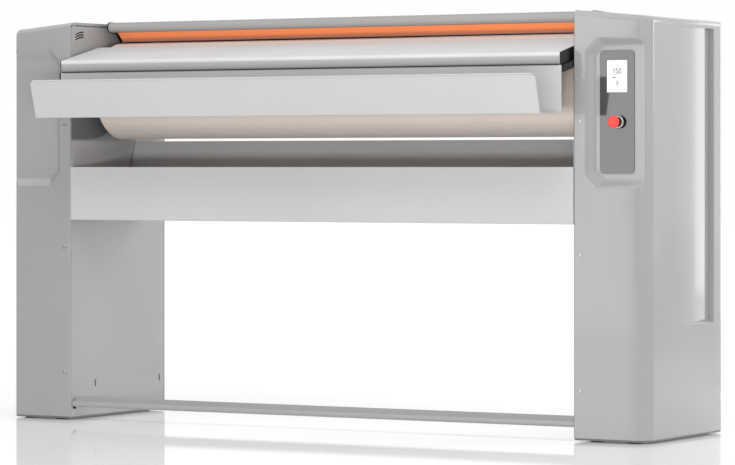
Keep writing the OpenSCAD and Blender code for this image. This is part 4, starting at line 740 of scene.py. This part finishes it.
# A black strip under the board's lip is painted shadow: it draws the dark shadow gap beneath the lip
lipShadow = {"drop": 0.001, "seat": 0.0004, "front": 0.0008, "back": 0.005, "end": 0.004}
boardLow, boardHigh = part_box("feed_board")
lipShadowLow = Vector((boardLow[0] + lipShadow["end"], boardLow[1] + lipShadow["front"], boardLow[2] - lipShadow["drop"]))
lipShadowHigh = Vector((boardHigh[0] - lipShadow["end"], boardLow[1] + lipShadow["back"], boardLow[2] + lipShadow["seat"]))
work = bmesh.new()
bmesh.ops.create_cube(work, size=1.0)
for vert in work.verts:
    vert.co = Vector([(a + b) / 2 + share * (b - a) for share, a, b in zip(vert.co, lipShadowLow, lipShadowHigh)])
lipShadowMesh = bpy.data.meshes.new("board_lip_shadow_strip")
work.to_mesh(lipShadowMesh)
work.free()
lipShadowMesh = finishedMesh(lipShadowMesh, "board_lip_shadow_strip", sides["edge"], 30, 2)
addPiece("board_lip_shadow_strip", lipShadowMesh, "foot_rubber", "machine")
# The strip counted here is the black painted-shadow strip under the board's lip.
print("side plates and seal strip made: 9")


# ---- display picture: plain number, dash and arrow ----

screen = {"numberHeight": 0.0118, "figureWidth": 0.0046, "figureGap": 0.0034, "numberRise": 0.0068,
    "dash": (-0.0118, -0.0030, -0.0028), "arrow": (0.0032, -0.0162, 0.0040, 0.0044),
    "mark": (-0.0032, 0.0012, -0.0270), "lift": 0.0001, "off": 0.00005,
    "numberStroke": 0.0014, "signStroke": 0.0018, "markStroke": 0.0006}


def strokes(name, paths, width, y, body, finish):
    work = bmesh.new()
    for path in paths:
        for (x0, z0), (x1, z1) in zip(path, path[1:]):
            along = Vector((x1 - x0, 0, z1 - z0)).normalized()
            across = Vector((-along.z, 0, along.x)) * width / 2
            a = Vector((x0, y, z0)) - along * width / 2
            b = Vector((x1, y, z1)) + along * width / 2
            corners = [work.verts.new(p) for p in (a - across, b - across, b + across, a + across)]
            face = work.faces.new(corners)
            lifted = bmesh.ops.extrude_face_region(work, geom=[face])
            for item in lifted["geom"]:
                if isinstance(item, bmesh.types.BMVert):
                    item.co.y -= screen["lift"]
    bmesh.ops.recalc_face_normals(work, faces=work.faces)
    mesh = bpy.data.meshes.new(name)
    work.to_mesh(mesh)
    work.free()
    return addPiece(name, mesh, finish, body)


def numberStrokes(text, height, width, gap):
    # Plain figures of straight strokes in a box of one by two
    marks = {"1": ((0.1, 1.5), (0.6, 2), (0.6, 0)),
        "5": ((1, 2), (0, 2), (0, 1.15), (0.75, 1.15), (1, 0.85), (1, 0.3), (0.75, 0), (0, 0)),
        "0": ((0.25, 0), (0, 0.35), (0, 1.65), (0.25, 2), (0.75, 2), (1, 1.65), (1, 0.35), (0.75, 0),
            (0.25, 0))}
    left = -(len(text) * (width + gap) - gap) / 2
    return [[(left + k * (width + gap) + x * width, z * height / 2) for x, z in marks[figure]]
        for k, figure in enumerate(text)]


displayLow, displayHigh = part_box("touch_display")
midX, midZ = (displayLow[0] + displayHigh[0]) / 2, (displayLow[2] + displayHigh[2]) / 2
number = [[(midX + x, midZ + screen["numberRise"] + z) for x, z in path]
    for path in numberStrokes("150", screen["numberHeight"], screen["figureWidth"], screen["figureGap"])]
dashFrom, dashTo, dashRise = screen["dash"]
tipX, tipRise, armX, armZ = screen["arrow"]
markFrom, markTo, markRise = screen["mark"]
signs = [[(midX + dashFrom, midZ + dashRise), (midX + dashTo, midZ + dashRise)],
    [(midX + tipX - armX, midZ + tipRise + armZ), (midX + tipX, midZ + tipRise),
        (midX + tipX - armX, midZ + tipRise - armZ)]]
faint = [[(midX + markFrom, midZ + markRise), (midX + markTo, midZ + markRise)]]
screenY = displayLow[1] - screen["off"]
strokes("display_number", number, screen["numberStroke"], screenY, "machine", "screen_ink")
strokes("display_signs", signs, screen["signStroke"], screenY, "machine", "screen_ink")
strokes("display_mark", faint, screen["markStroke"], screenY, "machine", "screen_ink")
print("display picture made")


# ---- floor, light and background ----

# The floor's glow rises from near to far; mirror is the share of its gloss
ground = {"half": 30, "near": 1.5, "far": 5.0, "nearGlow": 0.25, "farGlow": 0.6, "white": 0.9, "mirror": 0.55,
    "rough": 0.06}


def makeFloor():
    mesh = bpy.data.meshes.new("floor")
    half = ground["half"]
    corners = [(-half, -half, 0), (half, -half, 0), (half, half, 0), (-half, half, 0)]
    mesh.from_pydata(corners, [], [(0, 1, 2, 3)])
    floor = bpy.data.objects.new("floor", mesh)
    scene.collection.objects.link(floor)
    material = bpy.data.materials.new("floor")
    material.use_nodes = True
    tree = material.node_tree
    tree.nodes.clear()
    end = tree.nodes.new("ShaderNodeOutputMaterial")
    camera = place(tree, "ShaderNodeLightPath").outputs["Is Camera Ray"]
    point = place(tree, "ShaderNodeTexCoord").outputs["Object"]
    away = place(tree, "ShaderNodeVectorMath", {0: point}, operation="LENGTH").outputs["Value"]
    strength = place(tree, "ShaderNodeMapRange", {0: away, 1: ground["near"], 2: ground["far"],
        3: ground["nearGlow"], 4: ground["farGlow"]}).outputs[0]
    matt = place(tree, "ShaderNodeBsdfDiffuse", {"Color": rgba(*[ground["white"]] * 3)})
    glow = place(tree, "ShaderNodeEmission",
        {"Color": rgba(1, 1, 1), "Strength": maths(tree, "MULTIPLY", camera, strength)})
    lit = place(tree, "ShaderNodeAddShader", {0: matt.outputs[0], 1: glow.outputs[0]})
    gloss = place(tree, "ShaderNodeBsdfGlossy", {"Color": rgba(1, 1, 1), "Roughness": ground["rough"]})
    mixed = place(tree, "ShaderNodeMixShader", {0: ground["mirror"], 1: lit.outputs[0], 2: gloss.outputs[0]})
    tree.links.new(mixed.outputs[0], end.inputs[0])
    mesh.materials.append(material)
    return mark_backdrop(floor)


makeFloor()
world = bpy.data.worlds.new("white room")
scene.world = world
world.use_nodes = True
worldTree = world.node_tree
background = worldTree.nodes["Background"]
background.inputs[0].default_value = rgba(1, 1, 1)
rays = place(worldTree, "ShaderNodeLightPath").outputs
mirrored = maths(worldTree, "MAXIMUM", rays["Is Glossy Ray"], rays["Is Transmission Ray"])
seen = maths(worldTree, "MAXIMUM", rays["Is Camera Ray"], mirrored)
room = 0.6
worldTree.links.new(maths(worldTree, "MULTIPLY_ADD", seen, 1.0 - room, room), background.inputs[1])


def makeLamp(name, energy, size, location, aim, glossy, only=()):
    data = bpy.data.lights.new(name, "AREA")
    data.shape = "RECTANGLE"
    data.size, data.size_y = size
    data.energy = energy
    lamp = bpy.data.objects.new(name, data)
    lamp.location = location
    lamp.rotation_euler = (Vector(aim) - lamp.location).to_track_quat("-Z", "Y").to_euler()
    lamp.visible_glossy = glossy
    scene.collection.objects.link(lamp)
    if only:
        lit = bpy.data.collections.new(name + " lights")
        for piece in only:
            lit.objects.link(bpy.data.objects[piece])
        lamp.light_linking.receiver_collection = lit


# Watts, size, place, the point it looks at, whether mirrors see it, and the only pieces it lights
lamps = {
    "key": (52.0, (1.6, 1.6), (3.6, 2.6, 1.9), (0.95, 0.1, 0.6), True, ()),
    "back": (18.0, (2.6, 0.7), (0.3, 2.4, 0.75), (0, 0.1, 0.72), False, ()),
    "front": (105.0, (4.0, 0.35), (1.8, -5.0, 0.2), (0.1, 0.1, 0.75), False, ()),
    "top": (50.0, (3.0, 1.2), (0.4, -2.2, 3.6), (0.0, 0.1, 1.0), False, ()),
    "fill": (110.0, (3.0, 0.4), (1.6, -5.0, 0.72), (0.0, 0.1, 0.95), False,
        ("finger_guard_piece", "ironing_cloth", "top_cover_piece")),
    "board": (60.0, (3.0, 1.0), (0.4, -4.5, 3.0), (0.0, 0.0, 1.0), False, ("feed_board_piece",)),
}
for name, settings in lamps.items():
    makeLamp(name, *settings)


def makeFlag(name, points, height, strength):
    # A wall of the room that only reflections see, standing on the floor
    mesh = bpy.data.meshes.new(name)
    low = [(x, y, 0.02) for x, y in points]
    high = [(x, y, height) for x, y in points]
    count = len(points)
    mesh.from_pydata(low + high, [], [(k, k + 1, count + k + 1, count + k) for k in range(count - 1)])
    flag = bpy.data.objects.new(name, mesh)
    scene.collection.objects.link(flag)
    material = bpy.data.materials.new(name)
    material.use_nodes = True
    tree = material.node_tree
    tree.nodes.clear()
    end = tree.nodes.new("ShaderNodeOutputMaterial")
    glow = place(tree, "ShaderNodeEmission", {"Color": rgba(1, 1, 1), "Strength": strength})
    tree.links.new(glow.outputs[0], end.inputs[0])
    mesh.materials.append(material)
    flag.visible_camera = False
    flag.visible_diffuse = False
    flag.visible_shadow = False
    flag.visible_transmission = False
    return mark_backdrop(flag)


def arcPoints(radius, start, stop, count):
    # Degrees from the machine's front towards its right
    turns = [math.radians(start + (stop - start) * k / count) for k in range(count + 1)]
    return [(radius * math.sin(turn), -radius * math.cos(turn)) for turn in turns]


makeFlag("dark wall", arcPoints(9.8, -100, 58, 40), 6.0, 0.25)
makeFlag("bright panel", [(-2.35, -4.45), (-0.95, -4.45)], 2.6, 1.5)
makeFlag("side glow", arcPoints(9.8, 157, 168, 4), 6.0, 1.9)
print("light and floor set")
